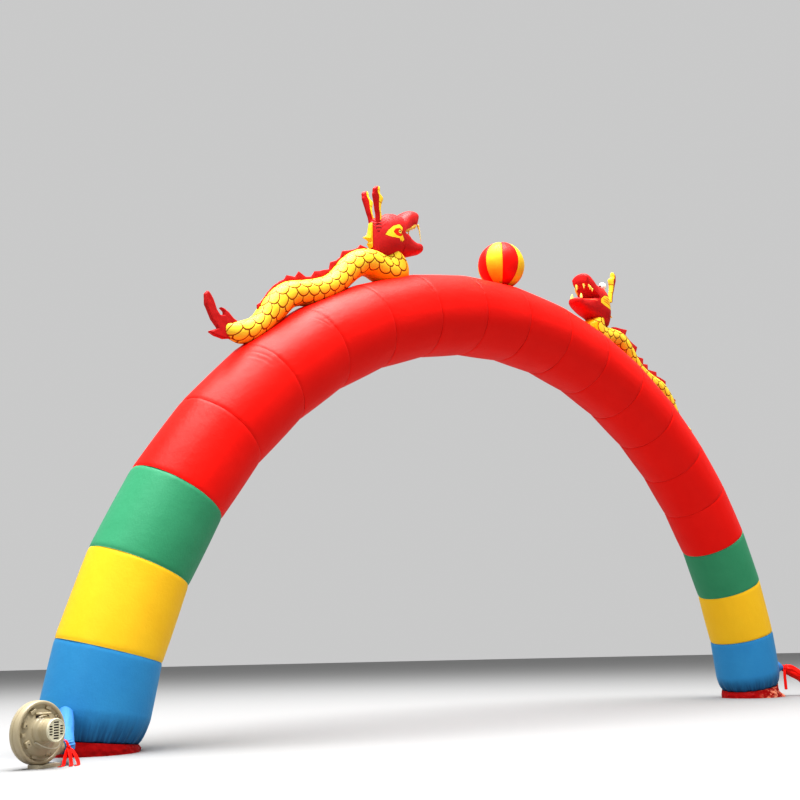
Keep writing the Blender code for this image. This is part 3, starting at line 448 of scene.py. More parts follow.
def tube_point(side, point, slope, turn, radius, tilt, lean=0.0):
    """A point on a ring across the tube; tilt brings its outer side later down the leg, and lean its back."""
    along = Vector((side * math.cos(slope), 0.0, -math.sin(slope)))
    out = Vector((side * math.sin(slope), 0.0, math.cos(slope)))
    rise, back = radius * math.cos(turn), radius * math.sin(turn)
    later = rise * math.tan(tilt) + back * math.tan(lean) / math.cos(tilt)
    return Vector((side * point.x, back, point.y)) + out * rise + along * later


# Short creases in the red panels: side, panel, turn, distance from the upper seam, length, lean, depth
CREASES = [
    (-1, 2, -0.95, 0.10, 0.20, 0.75, 0.012),
    (-1, 2, -0.80, 0.05, 0.16, 0.55, 0.008),
    (-1, 4, -0.90, 0.09, 0.30, 0.30, 0.007),
    (-1, 5, -0.60, 0.10, 0.42, 0.22, 0.006),
    (-1, 5, -0.75, 0.16, 0.36, 0.18, 0.005),
    (-1, 3, -0.70, 0.80, 0.24, -0.25, 0.005),
    (1, 1, -0.60, 0.08, 0.26, 0.35, 0.006),
    (1, 3, -0.75, 0.82, 0.30, -0.30, 0.006),
    (1, 4, 0.70, 0.10, 0.30, 0.40, 0.007),
    (-1, 4, 0.80, 0.12, 0.34, 0.35, 0.007),
    (-1, 1, 0.90, 0.80, 0.26, -0.35, 0.007),
]
BLUE_PROFILE = [  # share of the length, share of the radius
    (0.0, 1.0), (0.70, 1.0), (0.76, 0.992), (0.82, 0.975), (0.88, 0.948), (0.94, 0.912), (0.98, 0.882),
    (1.0, SKIRT_PINCH),
]
PUCKERS = [(0.0026, 13.0, 0.0), (0.00156, 27.0, 3.0)]  # along a seam: depth, how fine, drift
UNEVENNESS = [(0.0035, 2.4, 0.7), (0.0012, 6.0, 2.0)]  # all over a panel: depth, how fine, drift
SEED_STEP = 7.3  # between one panel's unevenness and the next
PINCH_WIDTH, PUCKER_REACH, PANEL_BULGE = 0.020, 0.055, 0.0035
GATHER_FROM, GATHER_DEPTH = 0.72, 0.011  # the blue panel's folds: share of its length they start at, depth


def crease_depth(side, panel, turn, distance):
    """How far a crease draws the cloth in at a point, with a low ridge beside it."""
    depth = 0.0
    for crease_side, crease_panel, middle, start, length, lean, deepest in CREASES:
        across = (turn - middle) * TUBE_RADIUS
        if (crease_side, crease_panel) != (side, panel) or abs(across) > length:
            continue
        off = distance - start - lean * across - 0.25 * across * across / length
        ends = max(0.0, 1.0 - (2 * across / length) ** 2)
        depth += deepest * ends * (fade(off, 0.010) - 0.5 * fade(off - 0.024, 0.014))
    return depth


def make_panel(side, panel, finish):
    """One tube panel: blown round, drawn in and puckered at its two sewn seams."""
    points = leg_points(side)
    slope = (panel + 0.5) * PANEL_TURN
    is_last = panel == PANELS_PER_LEG - 1
    step = (points[panel + 1] - points[panel]).normalized()
    next_step = Vector((math.cos(slope + PANEL_TURN), -math.sin(slope + PANEL_TURN)))
    start, end = points[panel] + step * GAP / 2, points[panel + 1] - step * GAP / 2
    end_tilt = bottom_tilt(side) if is_last else PANEL_TURN / 2
    length = (end - start).length
    seed = panel * SEED_STEP + (50.0 if side > 0 else 0.0)
    shift, leaned, backwards = seam_trim(side, panel)
    next_shift, next_leaned, next_backwards = seam_trim(side, panel + 1)

    def place(around, along):
        turn = math.tau * around
        closer = along if is_last else 0.5 - 0.5 * math.cos(math.pi * along)
        share = 0.65 * closer + 0.35 * along
        upper, lower = share * length, (1.0 - share) * length
        near = min(upper, lower)
        seam = seed + (0.0 if upper < lower else SEED_STEP)
        radius = TUBE_RADIUS * (1.0 - (1.0 - SEAM_PINCH) * fade(near, PINCH_WIDTH, 1.5))
        radius += PANEL_BULGE * math.sin(math.pi * share)
        for depth, count, drift in PUCKERS:
            radius += depth * ring_lumps(turn, count, seam + drift) * fade(near, PUCKER_REACH, 1.0)
        for depth, count, drift in UNEVENNESS:
            radius += depth * ring_lumps(turn, count, seed + share * drift)
        radius -= crease_depth(side, panel, math.remainder(turn, math.tau), upper)
        if is_last:
            folds = math.cos(SKIRT_FOLDS * turn + 2.5 * ring_lumps(turn, 2.0, seed))
            folds += 0.8 * ring_lumps(turn, 16.0, seed)
            radius *= read_off(BLUE_PROFILE, share)
            radius += GATHER_DEPTH * blend_in(GATHER_FROM, 1.0, share) * folds
        first, last = max(0.0, 1.0 - share / TRIM_REACH), max(0.0, 1.0 - (1.0 - share) / TRIM_REACH)
        middle = start.lerp(end, share) + step * shift * first + next_step * next_shift * last
        tilt = end_tilt * share - PANEL_TURN / 2 * (1.0 - share) + leaned * first + next_leaned * last
        lean = backwards * first + next_backwards * last
        return ARCH_MIDDLE + tube_point(side, middle, slope, turn, radius, tilt, lean)

    form = rolled_cloth(168, 52, place, math.tau * TUBE_RADIUS, PANEL_LENGTH)
    cloth_piece(f"panel_{SIDES[side]}_{panel + 1:02d}", form, finish)


# The right skirt's loose flap: which way it lies, half its width, how far it reaches
FLAP_TURN, FLAP_HALF_TURN, FLAP_REACH = math.radians(-42.0), math.radians(20.0), 0.13
SEAM_FOLDS, SKIRT_CRUMPLE = 0.016, 0.012  # share of the radius at the seam, and metres below it


def make_skirt(side, finish):
    """The red skirt under a leg: gathered where it is sewn on, crumpled where it meets the ground."""
    foot = leg_points(side)[-1]
    slope = (PANELS_PER_LEG - 0.5) * PANEL_TURN
    seam = foot - Vector((0.0, 2 * GAP))
    seed = 90.0 + side

    def place(around, along):
        turn = math.tau * around
        out = Vector((side * math.cos(turn), math.sin(turn), 0.0))
        top_radius = TUBE_RADIUS * SKIRT_PINCH * (1.0 + SEAM_FOLDS * math.cos(SKIRT_FOLDS * turn))
        top = tube_point(side, seam, slope, turn, top_radius, bottom_tilt(side))
        reach = SKIRT_RADIUS
        if side > 0:
            loose = fade(math.remainder(turn - FLAP_TURN, math.tau), FLAP_HALF_TURN)
            reach += FLAP_REACH * loose * blend_in(0.5, 1.0, along)
        spread = min(1.0, blend_in(-0.6, 0.75, along) * 1.02) if along < 0.75 else 1.0
        point = top.lerp(Vector((side * foot.x, 0.0, 0.0)) + out * reach, spread)
        point.z = top.z * (1.0 - along)
        folds = ring_lumps(turn, 9.0, seed + along * 1.3) + 0.7 * ring_lumps(turn, 20.0, seed + along * 2.5)
        free = blend_in(0.0, 0.2, along) * (1.0 - 0.5 * blend_in(0.9, 1.0, along))
        return ARCH_MIDDLE + point + out * SKIRT_CRUMPLE * folds * free

    form = rolled_cloth(220, 16, place, math.tau * SKIRT_RADIUS, SKIRT_HEIGHTS[side])
    cloth_piece(f"skirt_{SIDES[side]}", form, finish)


def make_tube(sewn, skirts):
    """Both halves of the tube, panel by panel, and the skirts at its feet."""
    for side in SIDES:
        for panel, slot in enumerate(PANEL_SLOTS):
            make_panel(side, panel, sewn[slot])
        make_skirt(side, skirts[side])


GORE_COLUMNS = 26
GORE_SEAM_DEPTH, GORE_SEAM_WIDTH, GORE_PUCKER, GORE_PUCKER_REACH = 0.010, 0.012, 0.0022, 0.022
GORE_FIRST_TURN, GORE_INSET = math.radians(-45.0), 0.002  # the inset keeps neighbours apart


def make_ball(plain):
    """Eight sewn gores, red and yellow in turn, drawn in along their seams and flat where the ball rests."""
    flat = math.asin(BALL_FLAT_RADIUS / BALL_RADIUS)
    crown = leg_points(1)[0].y + TUBE_RADIUS * SEAM_PINCH
    middle = ARCH_MIDDLE + Vector((0.0, 0.0, crown + GAP + BALL_RADIUS * math.cos(flat)))
    gore_turn = math.tau / BALL_GORES
    for gore in range(BALL_GORES):
        start = gore * gore_turn + GORE_FIRST_TURN

        def place(around, along):
            tilt = flat + (math.pi - flat) * along
            height = -BALL_RADIUS * math.cos(tilt)
            column = around * GORE_COLUMNS
            if not 0.5 < column < GORE_COLUMNS - 0.5:
                return middle + Vector((0.0, 0.0, height))
            share = min(1.0, max(0.0, (column - 1.0) / (GORE_COLUMNS - 2.0)))
            turn = start + gore_turn * (GORE_INSET + (1.0 - 2 * GORE_INSET) * share)
            edge = min(share, 1.0 - share) * gore_turn * BALL_RADIUS * max(0.05, math.sin(tilt))
            radius = BALL_RADIUS - GORE_SEAM_DEPTH * fade(edge, GORE_SEAM_WIDTH, 1.3)
            radius += GORE_PUCKER * lumps(gore * 3.0, height * 42.0, 1.0) * fade(edge, GORE_PUCKER_REACH, 1.0)
            radius += 0.0018 * ring_lumps(turn, 3.0, height * 8.0)
            out = radius * math.sin(tilt)
            if along > 0:
                height = -radius * math.cos(tilt)
            return middle + Vector((math.cos(turn) * out, math.sin(turn) * out, height))

        form = rolled_cloth(GORE_COLUMNS, 64, place, gore_turn * BALL_RADIUS, math.pi * BALL_RADIUS)
        slot = ("red_cloth", "yellow_cloth")[gore % 2]
        cloth_piece(f"ball_gore_{gore + 1}", form, plain[slot])


# The dragons, in the tables of the solids: x out from the arch's middle, z above the left leg's bottom seam

BODY_ROWS = [  # back x, back z, belly x, belly z, half width
    (4.725, 4.430, 4.725, 4.360, 0.035),
    (4.70, 4.465, 4.70, 4.320, 0.060),
    (4.62, 4.49, 4.63, 4.29, 0.090),
    (4.49, 4.54, 4.51, 4.27, 0.115),
    (4.36, 4.61, 4.36, 4.31, 0.130),
    (4.27, 4.71, 4.20, 4.42, 0.145),
    (4.18, 4.86, 4.04, 4.56, 0.155),
    (4.05, 5.01, 3.90, 4.69, 0.160),
    (3.88, 5.125, 3.78, 4.82, 0.160),
    (3.72, 5.175, 3.66, 4.88, 0.157),
    (3.56, 5.22, 3.51, 4.91, 0.155),
    (3.40, 5.275, 3.34, 4.98, 0.155),
    (3.26, 5.345, 3.17, 5.07, 0.157),
    (3.13, 5.47, 3.00, 5.18, 0.160),
    (3.01, 5.61, 2.87, 5.30, 0.165),
    (2.87, 5.72, 2.76, 5.40, 0.170),
    (2.72, 5.80, 2.65, 5.47, 0.172),
    (2.56, 5.84, 2.54, 5.485, 0.175),
    (2.44, 5.838, 2.42, 5.45, 0.178),
    (2.37, 5.825, 2.27, 5.41, 0.183),
    (2.34, 5.820, 2.10, 5.41, 0.188),
    (2.325, 5.830, 1.96, 5.47, 0.188),
    (2.32, 5.860, 1.905, 5.60, 0.182),
    (2.32, 5.920, 1.935, 5.75, 0.170),
    (2.32, 5.980, 2.110, 5.87, 0.130),
]
SKULL_ROWS = [  # x, lowest z, highest z, half width
    (2.500, 5.855, 6.215, 0.045),
    (2.470, 5.800, 6.252, 0.085),
    (2.430, 5.765, 6.285, 0.125),
    (2.330, 5.765, 6.328, 0.190),
    (2.230, 5.785, 6.362, 0.212),
    (2.130, 5.815, 6.386, 0.208),
    (2.0755, 5.835, 6.392, 0.200),
]
SNOUT_ROWS = [  # x, lowest z and highest z of the oval, half width, z of the flat palate
    (2.0755, 5.835, 6.392, 0.200, 6.160),
    (2.010, 6.000, 6.424, 0.188, 6.195),
    (1.940, 6.120, 6.468, 0.172, 6.232),
    (1.870, 6.200, 6.500, 0.160, 6.270),
    (1.800, 6.260, 6.512, 0.147, 6.308),
    (1.745, 6.300, 6.506, 0.128, 6.340),
    (1.712, 6.345, 6.490, 0.098, 6.368),
    (1.700, 6.395, 6.465, 0.050, 6.398),
]
JAW_ROWS = [  # x, lowest z and highest z of the oval, half width, z of the flat tongue side
    (2.0747, 5.838, 6.300, 0.196, 6.125),
    (1.990, 5.862, 6.200, 0.180, 6.112),
    (1.880, 5.898, 6.130, 0.160, 6.096),
    (1.780, 5.940, 6.100, 0.142, 6.086),
    (1.700, 5.980, 6.098, 0.116, 6.086),
    (1.650, 6.012, 6.090, 0.080, 6.084),
    (1.635, 6.040, 6.072, 0.040, 6.072),
]
HORN_ROWS = [  # x, z, half depth, half width
    (2.420, 6.180, 0.044, 0.034),
    (2.432, 6.300, 0.045, 0.034),
    (2.450, 6.360, 0.047, 0.035),
    (2.460, 6.440, 0.060, 0.036),
    (2.460, 6.512, 0.086, 0.037),
    (2.468, 6.540, 0.086, 0.036),
    (2.490, 6.572, 0.058, 0.035),
    (2.492, 6.612, 0.055, 0.033),
    (2.480, 6.644, 0.040, 0.026),
    (2.466, 6.662, 0.014, 0.010),
]
MOUTH_X, HEAD_SQUARENESS, HEAD_RINGS = 2.0755, 0.8, 40
HORN_SHIFT = {-1: 0.0, 1: 0.070}
HORN_KNEE, HORN_GROWTH = 6.44, {(-1, -1): 1.0, (-1, 1): 1.0, (1, -1): 1.0, (1, 1): 0.35}
HORN_SPREAD, HORN_SPLAY = {-1: 0.058, 1: 0.080}, {-1: 0.11, 1: 0.06}
UPPER_JAW_REACH = {-1: 0.88, 1: 0.65}
SQUARE_SNOUT = 0.140  # half width that the right snout keeps to its tip
HUMP_DROP = {-1: 0.0, 1: 0.065}
HUMP_X, HUMP_REACH = 2.50, 0.28
CREST_FIRST_RING, CREST_THICKNESS = 10, 0.018  # the first ring of the body that carries the crest
CREST_ROWS = {  # height and lean to the tail at each ring: uneven lobes and spikes
    -1: [
        (0.058, 0.000), (0.022, 0.000), (0.012, 0.000), (0.018, 0.000), (0.024, 0.000), (0.030, 0.000),
        (0.032, 0.000), (0.070, 0.035), (0.046, 0.000), (0.108, 0.014), (0.038, 0.000), (0.032, 0.000),
        (0.086, 0.012), (0.076, 0.000), (0.066, 0.000), (0.030, 0.000), (0.072, 0.024), (0.035, 0.000),
        (0.024, 0.000), (0.060, 0.024), (0.030, 0.000), (0.016, 0.000), (0.022, 0.000), (0.050, 0.042),
        (0.012, 0.000),
    ],
    1: [
        (0.035, 0.000), (0.150, 0.090), (0.095, 0.030), (0.070, 0.010), (0.055, 0.000), (0.140, 0.080),
        (0.095, 0.030), (0.070, 0.010), (0.130, 0.080), (0.095, 0.030), (0.070, 0.010), (0.140, 0.080),
        (0.095, 0.030), (0.175, 0.095), (0.125, 0.030), (0.095, 0.010), (0.205, 0.100), (0.150, 0.040),
        (0.115, 0.010), (0.110, 0.000), (0.190, 0.110), (0.110, 0.030), (0.075, 0.000), (0.050, 0.000),
        (0.012, 0.000),
    ],
}

# The printed scales: pitch along the body, pitch of the rows, radius, and the width of their dark edge
SCALE_PITCH, SCALE_ROW, SCALE_RADIUS, SCALE_EDGE = 0.176, 0.106, 0.104, 0.0155
SCALE_ROWS = 4  # rows down a flank, above the plain belly
SCALE_PUFF, SCALE_BEVEL, BODY_UNEVENNESS = 0.022, 0.022, 0.012
# the second and third colours are painted shade: low down the flank, and towards the edge of each scale
SCALE_LIT, SCALE_LOW_SHADE, SCALE_RIM_SHADE = (0.80, 0.63, 0.048), (0.88, 0.43, 0.012), (0.90, 0.54, 0.02)
SCALE_FLECK, BELLY_ORANGE, SCALE_LINE = (0.88, 0.80, 0.16), (0.90, 0.42, 0.012), (0.26, 0.055, 0.006)
LENGTH_STEPS = 480


def dragon_point(side, x, y, z):
    """A place in a dragon's tables as a point of the arch."""
    return ARCH_MIDDLE + Vector((side * x, y, z + SKIRT_HEIGHTS[-1]))


def dragon_place(side, point):
    """A point of a dragon in its tables: x, distance from its middle plane, z."""
    local = point - ARCH_MIDDLE
    return side * local.x, abs(local.y), local.z - SKIRT_HEIGHTS[-1]


def body_row(side, share):
    """A row of the body's table; the right dragon's hump is lower."""
    back_x, back_z, belly_x, belly_z, half_width = along_rows(BODY_ROWS, share)
    return back_x, back_z - HUMP_DROP[side] * fade(back_x - HUMP_X, HUMP_REACH), belly_x, belly_z, half_width


def body_lengths(side):
    """Length along the body's middle at equal shares of its table."""
    rows = [body_row(side, step / LENGTH_STEPS) for step in range(LENGTH_STEPS + 1)]
    middles = [Vector((row[0] + row[2], row[1] + row[3])) / 2 for row in rows]
    lengths = [0.0]
    for before, after in zip(middles, middles[1:]):
        lengths.append(lengths[-1] + (after - before).length)
    return lengths


def share_at(lengths, length):
    """The share of the table at which the body is that long."""
    low = min(max(bisect.bisect_right(lengths, length) - 1, 0), len(lengths) - 2)
    part = (length - lengths[low]) / max(1e-9, lengths[low + 1] - lengths[low])
    return (low + min(1.0, max(0.0, part))) / (len(lengths) - 1)


def scale_height(along, girth):
    """Relief of the padded scales: 0 on an edge, 1 well inside a scale or on the plain belly."""
    row = math.floor(girth / SCALE_ROW)
    for line in (row, row + 1):
        offset = 0.5 * (line % 2)
        headward = math.ceil(along / SCALE_PITCH - offset) + offset
        for centre in (headward, headward - 1.0):
            away = math.hypot(along - centre * SCALE_PITCH, girth - line * SCALE_ROW)
            if away < SCALE_RADIUS:
                return 1.0 if line >= SCALE_ROWS else blend_in(0.0, SCALE_BEVEL, SCALE_RADIUS - away)
    return 1.0


def make_dragon_body(side, finish):
    """The body, puffed out within each scale that is printed on it."""
    lengths = body_lengths(side)
    whole = lengths[-1]

    def row_at(along):
        return body_row(side, share_at(lengths, along * whole))

    def girth_at(around, row):
        back_x, back_z, belly_x, belly_z, half_width = row
        deep = math.hypot(back_x - belly_x, back_z - belly_z) / 2
        return min(around, 1.0 - around) * math.tau * math.sqrt((deep * deep + half_width * half_width) / 2)

    def place(around, along):
        row = row_at(along)
        back_x, back_z, belly_x, belly_z, half_width = row
        back, belly = dragon_point(side, back_x, 0.0, back_z), dragon_point(side, belly_x, 0.0, belly_z)
        middle = (back + belly) / 2
        turn = math.tau * around
        puff = 1.0 + SCALE_PUFF * (scale_height(along * whole, girth_at(around, row)) - 1.0)
        puff += BODY_UNEVENNESS * ring_lumps(turn, 2.0, along * 14.0)
        out = (back - middle) * math.cos(turn) + Vector((0.0, half_width * math.sin(turn), 0.0))
        return middle + out * puff

    def print_on(around, along):
        return girth_at(around, row_at(along)), along * whole

    form = rolled_cloth(112, 300, place, print_on=print_on)
    cloth_piece(f"dragon_{SIDES[side]}_body", form, finish)


def scale_finish():
    """Yellow cloth printed with scales: dark curved edges and a plain orange belly, with painted shade that
    deepens the yellow low down the flank and towards each scale's edge.
    """
    cloth = Finish("scale_print", SCALE_LIT)
    girth, along, _ = cloth.places("UV")
    row, column = (girth / SCALE_ROW).floor(), along / SCALE_PITCH
    shown = depth = belly = 0.0
    for line in (row, row + 1.0):
        offset = line % 2.0 * 0.5
        headward = (column - offset).ceil() + offset
        beside = girth - line * SCALE_ROW
        for back in (0.0, 1.0):
            ahead = (column - (headward - back)) * SCALE_PITCH
            away = (ahead * ahead + beside * beside).root()
            fresh = (away < SCALE_RADIUS) * (1.0 - shown)
            shown = shown + fresh
            depth = depth + fresh * (SCALE_RADIUS - away)
            belly = belly + fresh * (line > SCALE_ROWS - 0.5)
    belly = held(belly.most(1.0 - shown))
    depth = depth + belly
    # painted shade: deeper yellow low down the flank and towards each scale's edge
    low = held((girth - 0.10) * 3.2)
    cloth.paint(low**1.5 * 0.85, SCALE_LOW_SHADE)
    cloth.paint(held((0.075 - depth) * 9.0) * 0.28, SCALE_RIM_SHADE)
    cloth.paint(cloth.mottle(14.0, 4.0) * 0.38, SCALE_FLECK)
    cloth.paint(belly, BELLY_ORANGE)
    wobble = (cloth.mottle(26.0, 2.0) - 0.5) * 0.006
    cloth.paint((depth + wobble < SCALE_EDGE) * 0.94, SCALE_LINE)
    cloth.give("Roughness", 0.42)
    cloth.give("Specular IOR Level", NYLON_SHINE)
    cloth.emboss(cloth.mottle(16.0, 5.0), 0.010, 0.4)
    cloth.emboss(depth.least(0.025) * 40.0, 0.004, 0.5)
    return cloth


def head_section(row, turn, cut=0):
    """A point round the head or a jaw; cut is 1 where the row's last height flattens it below, -1 above."""
    x, low, high, half_width = row[:4]
    rise, reach = oval(turn, HEAD_SQUARENESS)
    z = (low + high) / 2 + (high - low) / 2 * rise
    if cut > 0:
        z = max(z, row[4])
    elif cut < 0:
        z = min(z, row[4])
    return x, half_width * reach, z


HEAD_BUMPS = [  # x, y, z, radius, height: brows, snout, nostrils, cheeks, the dip behind the snout
    (2.290, 0.090, 6.345, 0.060, 0.020),
    (2.190, 0.060, 6.385, 0.055, 0.016),
    (2.080, 0.060, 6.395, 0.050, -0.016),
    (1.830, 0.000, 6.500, 0.110, 0.010),
    (1.765, 0.085, 6.460, 0.050, 0.018),
    (1.830, 0.130, 6.330, 0.050, 0.010),
    (2.300, 0.190, 5.960, 0.120, 0.012),
]
JAW_BUMPS = [
    (1.690, 0.000, 5.990, 0.070, 0.012),
    (1.720, 0.090, 6.080, 0.045, 0.010),
    (2.000, 0.160, 6.090, 0.060, 0.012),
]
HEAD_UNEVENNESS = 0.0022
RIDGE_MIDDLE, RIDGE_PITCH, RIDGE_HEIGHT = (2.440, 0.060, 6.290), 0.036, 0.0045  # round the foot of a horn


def raise_bumps(form, side, bumps, wrinkled):
    """Push the cloth out along its normals in soft bumps, the same on both sides of the middle plane."""
    form.normal_update()
    moves = []
    for vert in form.verts:
        place = dragon_place(side, vert.co)
        rise = HEAD_UNEVENNESS * lumps(*(vert.co * 14.0))
        for *middle, radius, height in bumps:
            away = math.dist(place, middle)
            if away < 3 * radius:
                rise += height * fade(away, radius)
        if wrinkled and place[0] > MOUTH_X:
            away = math.dist(place, RIDGE_MIDDLE)
            ring = blend_in(0.035, 0.06, away) * (1.0 - blend_in(0.13, 0.17, away))
            rise += RIDGE_HEIGHT * ring * math.cos(math.tau * away / RIDGE_PITCH)
        moves.append((vert, vert.normal * rise))
    for vert, move in moves:
        vert.co += move


def snout_row(side, share):
    """A row of the snout's table, as long as on that side; the right snout keeps its width."""
    x, low, high, half_width, palate = along_rows(SNOUT_ROWS, share)
    if side > 0:
        half_width = max(half_width, SQUARE_SNOUT)
    return MOUTH_X - (MOUTH_X - x) * UPPER_JAW_REACH[side], low, high, half_width, palate


def make_head(side, face, jaw):
    """The head with its upper jaw, and the lower jaw."""
    rings = [along_rows(SKULL_ROWS, step / HEAD_RINGS) for step in range(HEAD_RINGS + 1)]
    rings += [snout_row(side, step / HEAD_RINGS) for step in range(HEAD_RINGS + 1)]

    def head_place(around, along):
        ring = round(along * (len(rings) - 1))
        return dragon_point(side, *head_section(rings[ring], math.tau * around, int(ring > HEAD_RINGS)))

    def jaw_place(around, along):
        return dragon_point(side, *head_section(along_rows(JAW_ROWS, along), math.tau * around, -1))

    for kind, round_steps, long_steps, place, finish, bumps in (
        ("head", 88, len(rings) - 1, head_place, face, HEAD_BUMPS),
        ("jaw", 72, 44, jaw_place, jaw, JAW_BUMPS),
    ):
        print_on = lambda *shares: face_print(side, place(*shares))
        form = rolled_cloth(round_steps, long_steps, place, print_on=print_on)
        raise_bumps(form, side, bumps, kind == "head")
        cloth_piece(f"dragon_{SIDES[side]}_{kind}", form, finish, sharp=50.0)


# The prints on the heads, as outlines on face_print
EYE_PATCH = [
    (2.105, 6.024), (2.128, 6.066), (2.140, 6.113), (2.129, 6.174), (2.158, 6.196), (2.190, 6.205),
    (2.292, 6.162), (2.371, 6.104), (2.438, 6.036), (2.384, 6.017), (2.307, 6.007), (2.195, 6.013),
    (2.172, 5.982), (2.158, 6.002), (2.140, 5.985),
]
EYE_RED = [
    (2.288, 6.082), (2.250, 6.127), (2.185, 6.147), (2.142, 6.125), (2.140, 6.075), (2.175, 6.048),
    (2.239, 6.047),
]
EYE_BALL = [(2.196, 6.128), (2.165, 6.131), (2.148, 6.108), (2.160, 6.084), (2.192, 6.084), (2.208, 6.106)]
PUPIL = [(2.188, 6.118), (2.172, 6.118), (2.166, 6.106), (2.174, 6.096), (2.190, 6.098), (2.194, 6.108)]
STRIPED_PATCH = [
    (2.085, 6.066), (2.095, 6.125), (2.190, 6.190), (2.330, 6.203), (2.400, 6.130), (2.440, 6.030),
    (2.330, 5.985), (2.170, 6.030),
]
STRIPES = [
    [(2.150, 6.140), (2.250, 6.128), (2.400, 6.062), (2.390, 6.046), (2.240, 6.106), (2.150, 6.128)],
    [(2.160, 6.105), (2.250, 6.088), (2.385, 6.026), (2.370, 6.014), (2.240, 6.068), (2.160, 6.092)],
    [(2.200, 6.168), (2.300, 6.158), (2.400, 6.100), (2.405, 6.086), (2.290, 6.138), (2.200, 6.158)],
]
LIP_STRIP = [
    (1.600, 6.016), (1.560, 6.012), (1.575, 5.985), (1.640, 5.962), (1.720, 5.952), (1.780, 5.956),
    (1.700, 5.976), (1.640, 5.992),
]
JAW_RIM = [(1.558, 6.070), (1.780, 6.083), (1.997, 6.076), (1.997, 6.094), (1.780, 6.101), (1.558, 6.088)]
WRINKLES_PLACE, WRINKLES_REACH, WRINKLES_PITCH = (2.550, 6.165), 0.098, 0.048  # where painted shade marks wrinkles, at the back of the left skull
PATCH_LIT, PATCH_DEEP, PATCH_RIM = (0.86, 0.66, 0.06), (0.84, 0.44, 0.02), (0.30, 0.030, 0.005)
EYE_COLOURS = (0.72, 0.035, 0.01), (0.80, 0.62, 0.10), (0.10, 0.16, 0.03)  # ring, ball, pupil
# the second colour is painted shade in the wrinkles of the left skull
STRIPE_BROWN, WRINKLE_SHADE = (0.62, 0.20, 0.02), (0.07, 0.002, 0.003)
# the last colour is a painted highlight along the right jaw's rim
LIP_YELLOW, LIP_RIM, LIP_HIGHLIGHT = (0.93, 0.70, 0.09), (0.28, 0.02, 0.005), (0.93, 0.12, 0.06)
CHEEK_FROM = 0.135  # how far from a dragon's middle plane its cheeks begin
PATCH_SIGHT = {-1: 0.95, 1: 1.36}  # how the print on the cheeks is drawn out round the head


def face_print(side, point):
    """Where a point of the head lies on the print of its cheek: table x drawn round the head, and table z."""
    x, sideways, z = dragon_place(side, point)
    return x - side * PATCH_SIGHT[side] * (0.20 - sideways), z


def inside_shape(across, up, outline):
    """1 inside a closed outline on the print, by counting the edges to one side."""
    crossed = 0.0
    above = [up > v for _, v in outline]
    for index, (u, v) in enumerate(outline):
        after = (index + 1) % len(outline)
        next_u, next_v = outline[after]
        if abs(next_v - v) > 1e-6:
            slope = (next_u - u) / (next_v - v)
            spans = abs(above[index] - above[after])
            crossed = crossed + spans * (across < up.line(slope, u - slope * v))
    return crossed % 2.0 > 0.5


def widened(outline, rim):
    """The outline drawn out from its middle until it stands past its top or bottom by the rim."""
    middle_u, middle_v = (sum(column) / len(outline) for column in zip(*outline))
    reach = 1.0 + rim / max(abs(v - middle_v) for _, v in outline)
    return [(middle_u + (u - middle_u) * reach, middle_v + (v - middle_v) * reach) for u, v in outline]


def face_finish(side, colour, deep):
    """Red cloth with the sewn-on yellow cheek patch: an eye on the left dragon, stripes on the right one."""
    cloth = cloth_finish(f"face_{SIDES[side]}", colour, deep)
    across, up, _ = cloth.places("UV")
    across = across + (cloth.mottle(30.0, 2.0) - 0.5) * 0.010
    x, y, _ = cloth.places("Object")
    cheek = (abs(y - ARCH_MIDDLE.y) > CHEEK_FROM) * (x * float(side) > MOUTH_X + 0.006)
    yellow = cloth.tint(cloth.mottle(26.0, 3.0), PATCH_LIT, PATCH_DEEP)
    shapes = [  # outline, colour, width of its dark rim
        (EYE_PATCH, yellow, 0.012),
        (EYE_RED, EYE_COLOURS[0], 0.006),
        (EYE_BALL, EYE_COLOURS[1], 0.006),
        (PUPIL, EYE_COLOURS[2], 0.0),
    ]
    if side > 0:
        shapes = [(STRIPED_PATCH, yellow, 0.010)] + [(stripe, STRIPE_BROWN, 0.0) for stripe in STRIPES]
    for outline, fill, rim in shapes:
        if rim:
            border = inside_shape(across, up, widened(outline, rim)) * cheek
            cloth.paint(border * 0.85, PATCH_RIM)
        inside = inside_shape(across, up, outline) * cheek
        cloth.paint(inside, fill)
        if fill is yellow:
            patch = inside
    if side < 0:
        # painted shade: dark strokes in the wrinkles at the back of the left skull
        beside, over = (across - WRINKLES_PLACE[0]) * 1.7, up - WRINKLES_PLACE[1]
        reached = (beside * beside + over * over).root() < WRINKLES_REACH
        shaded_fold = ((beside * beside * 1.6 + over) / WRINKLES_PITCH).fraction() < 0.34
        cloth.paint(reached * shaded_fold * 0.78, WRINKLE_SHADE)
    cloth.emboss(patch, 0.004, 0.6)
    return cloth


def jaw_finish(side, colour, deep):
    """Red cloth with a printed yellow lip under the left jaw's tip, and a pale painted highlight along the
    right jaw's rim.
    """
    cloth = cloth_finish(f"jaw_{SIDES[side]}", colour, deep)
    across, up, _ = cloth.places("UV")
    if side < 0:
        border = [(u, v + (0.010 if v > 5.98 else 0.006)) for u, v in LIP_STRIP]
        cloth.paint(inside_shape(across, up, border) * 0.8, LIP_RIM)
        cloth.paint(inside_shape(across, up, LIP_STRIP), LIP_YELLOW)
    else:
        # painted highlight: a pale line along the rim of the right jaw
        cloth.paint(inside_shape(across, up, JAW_RIM), LIP_HIGHLIGHT)
    return cloth


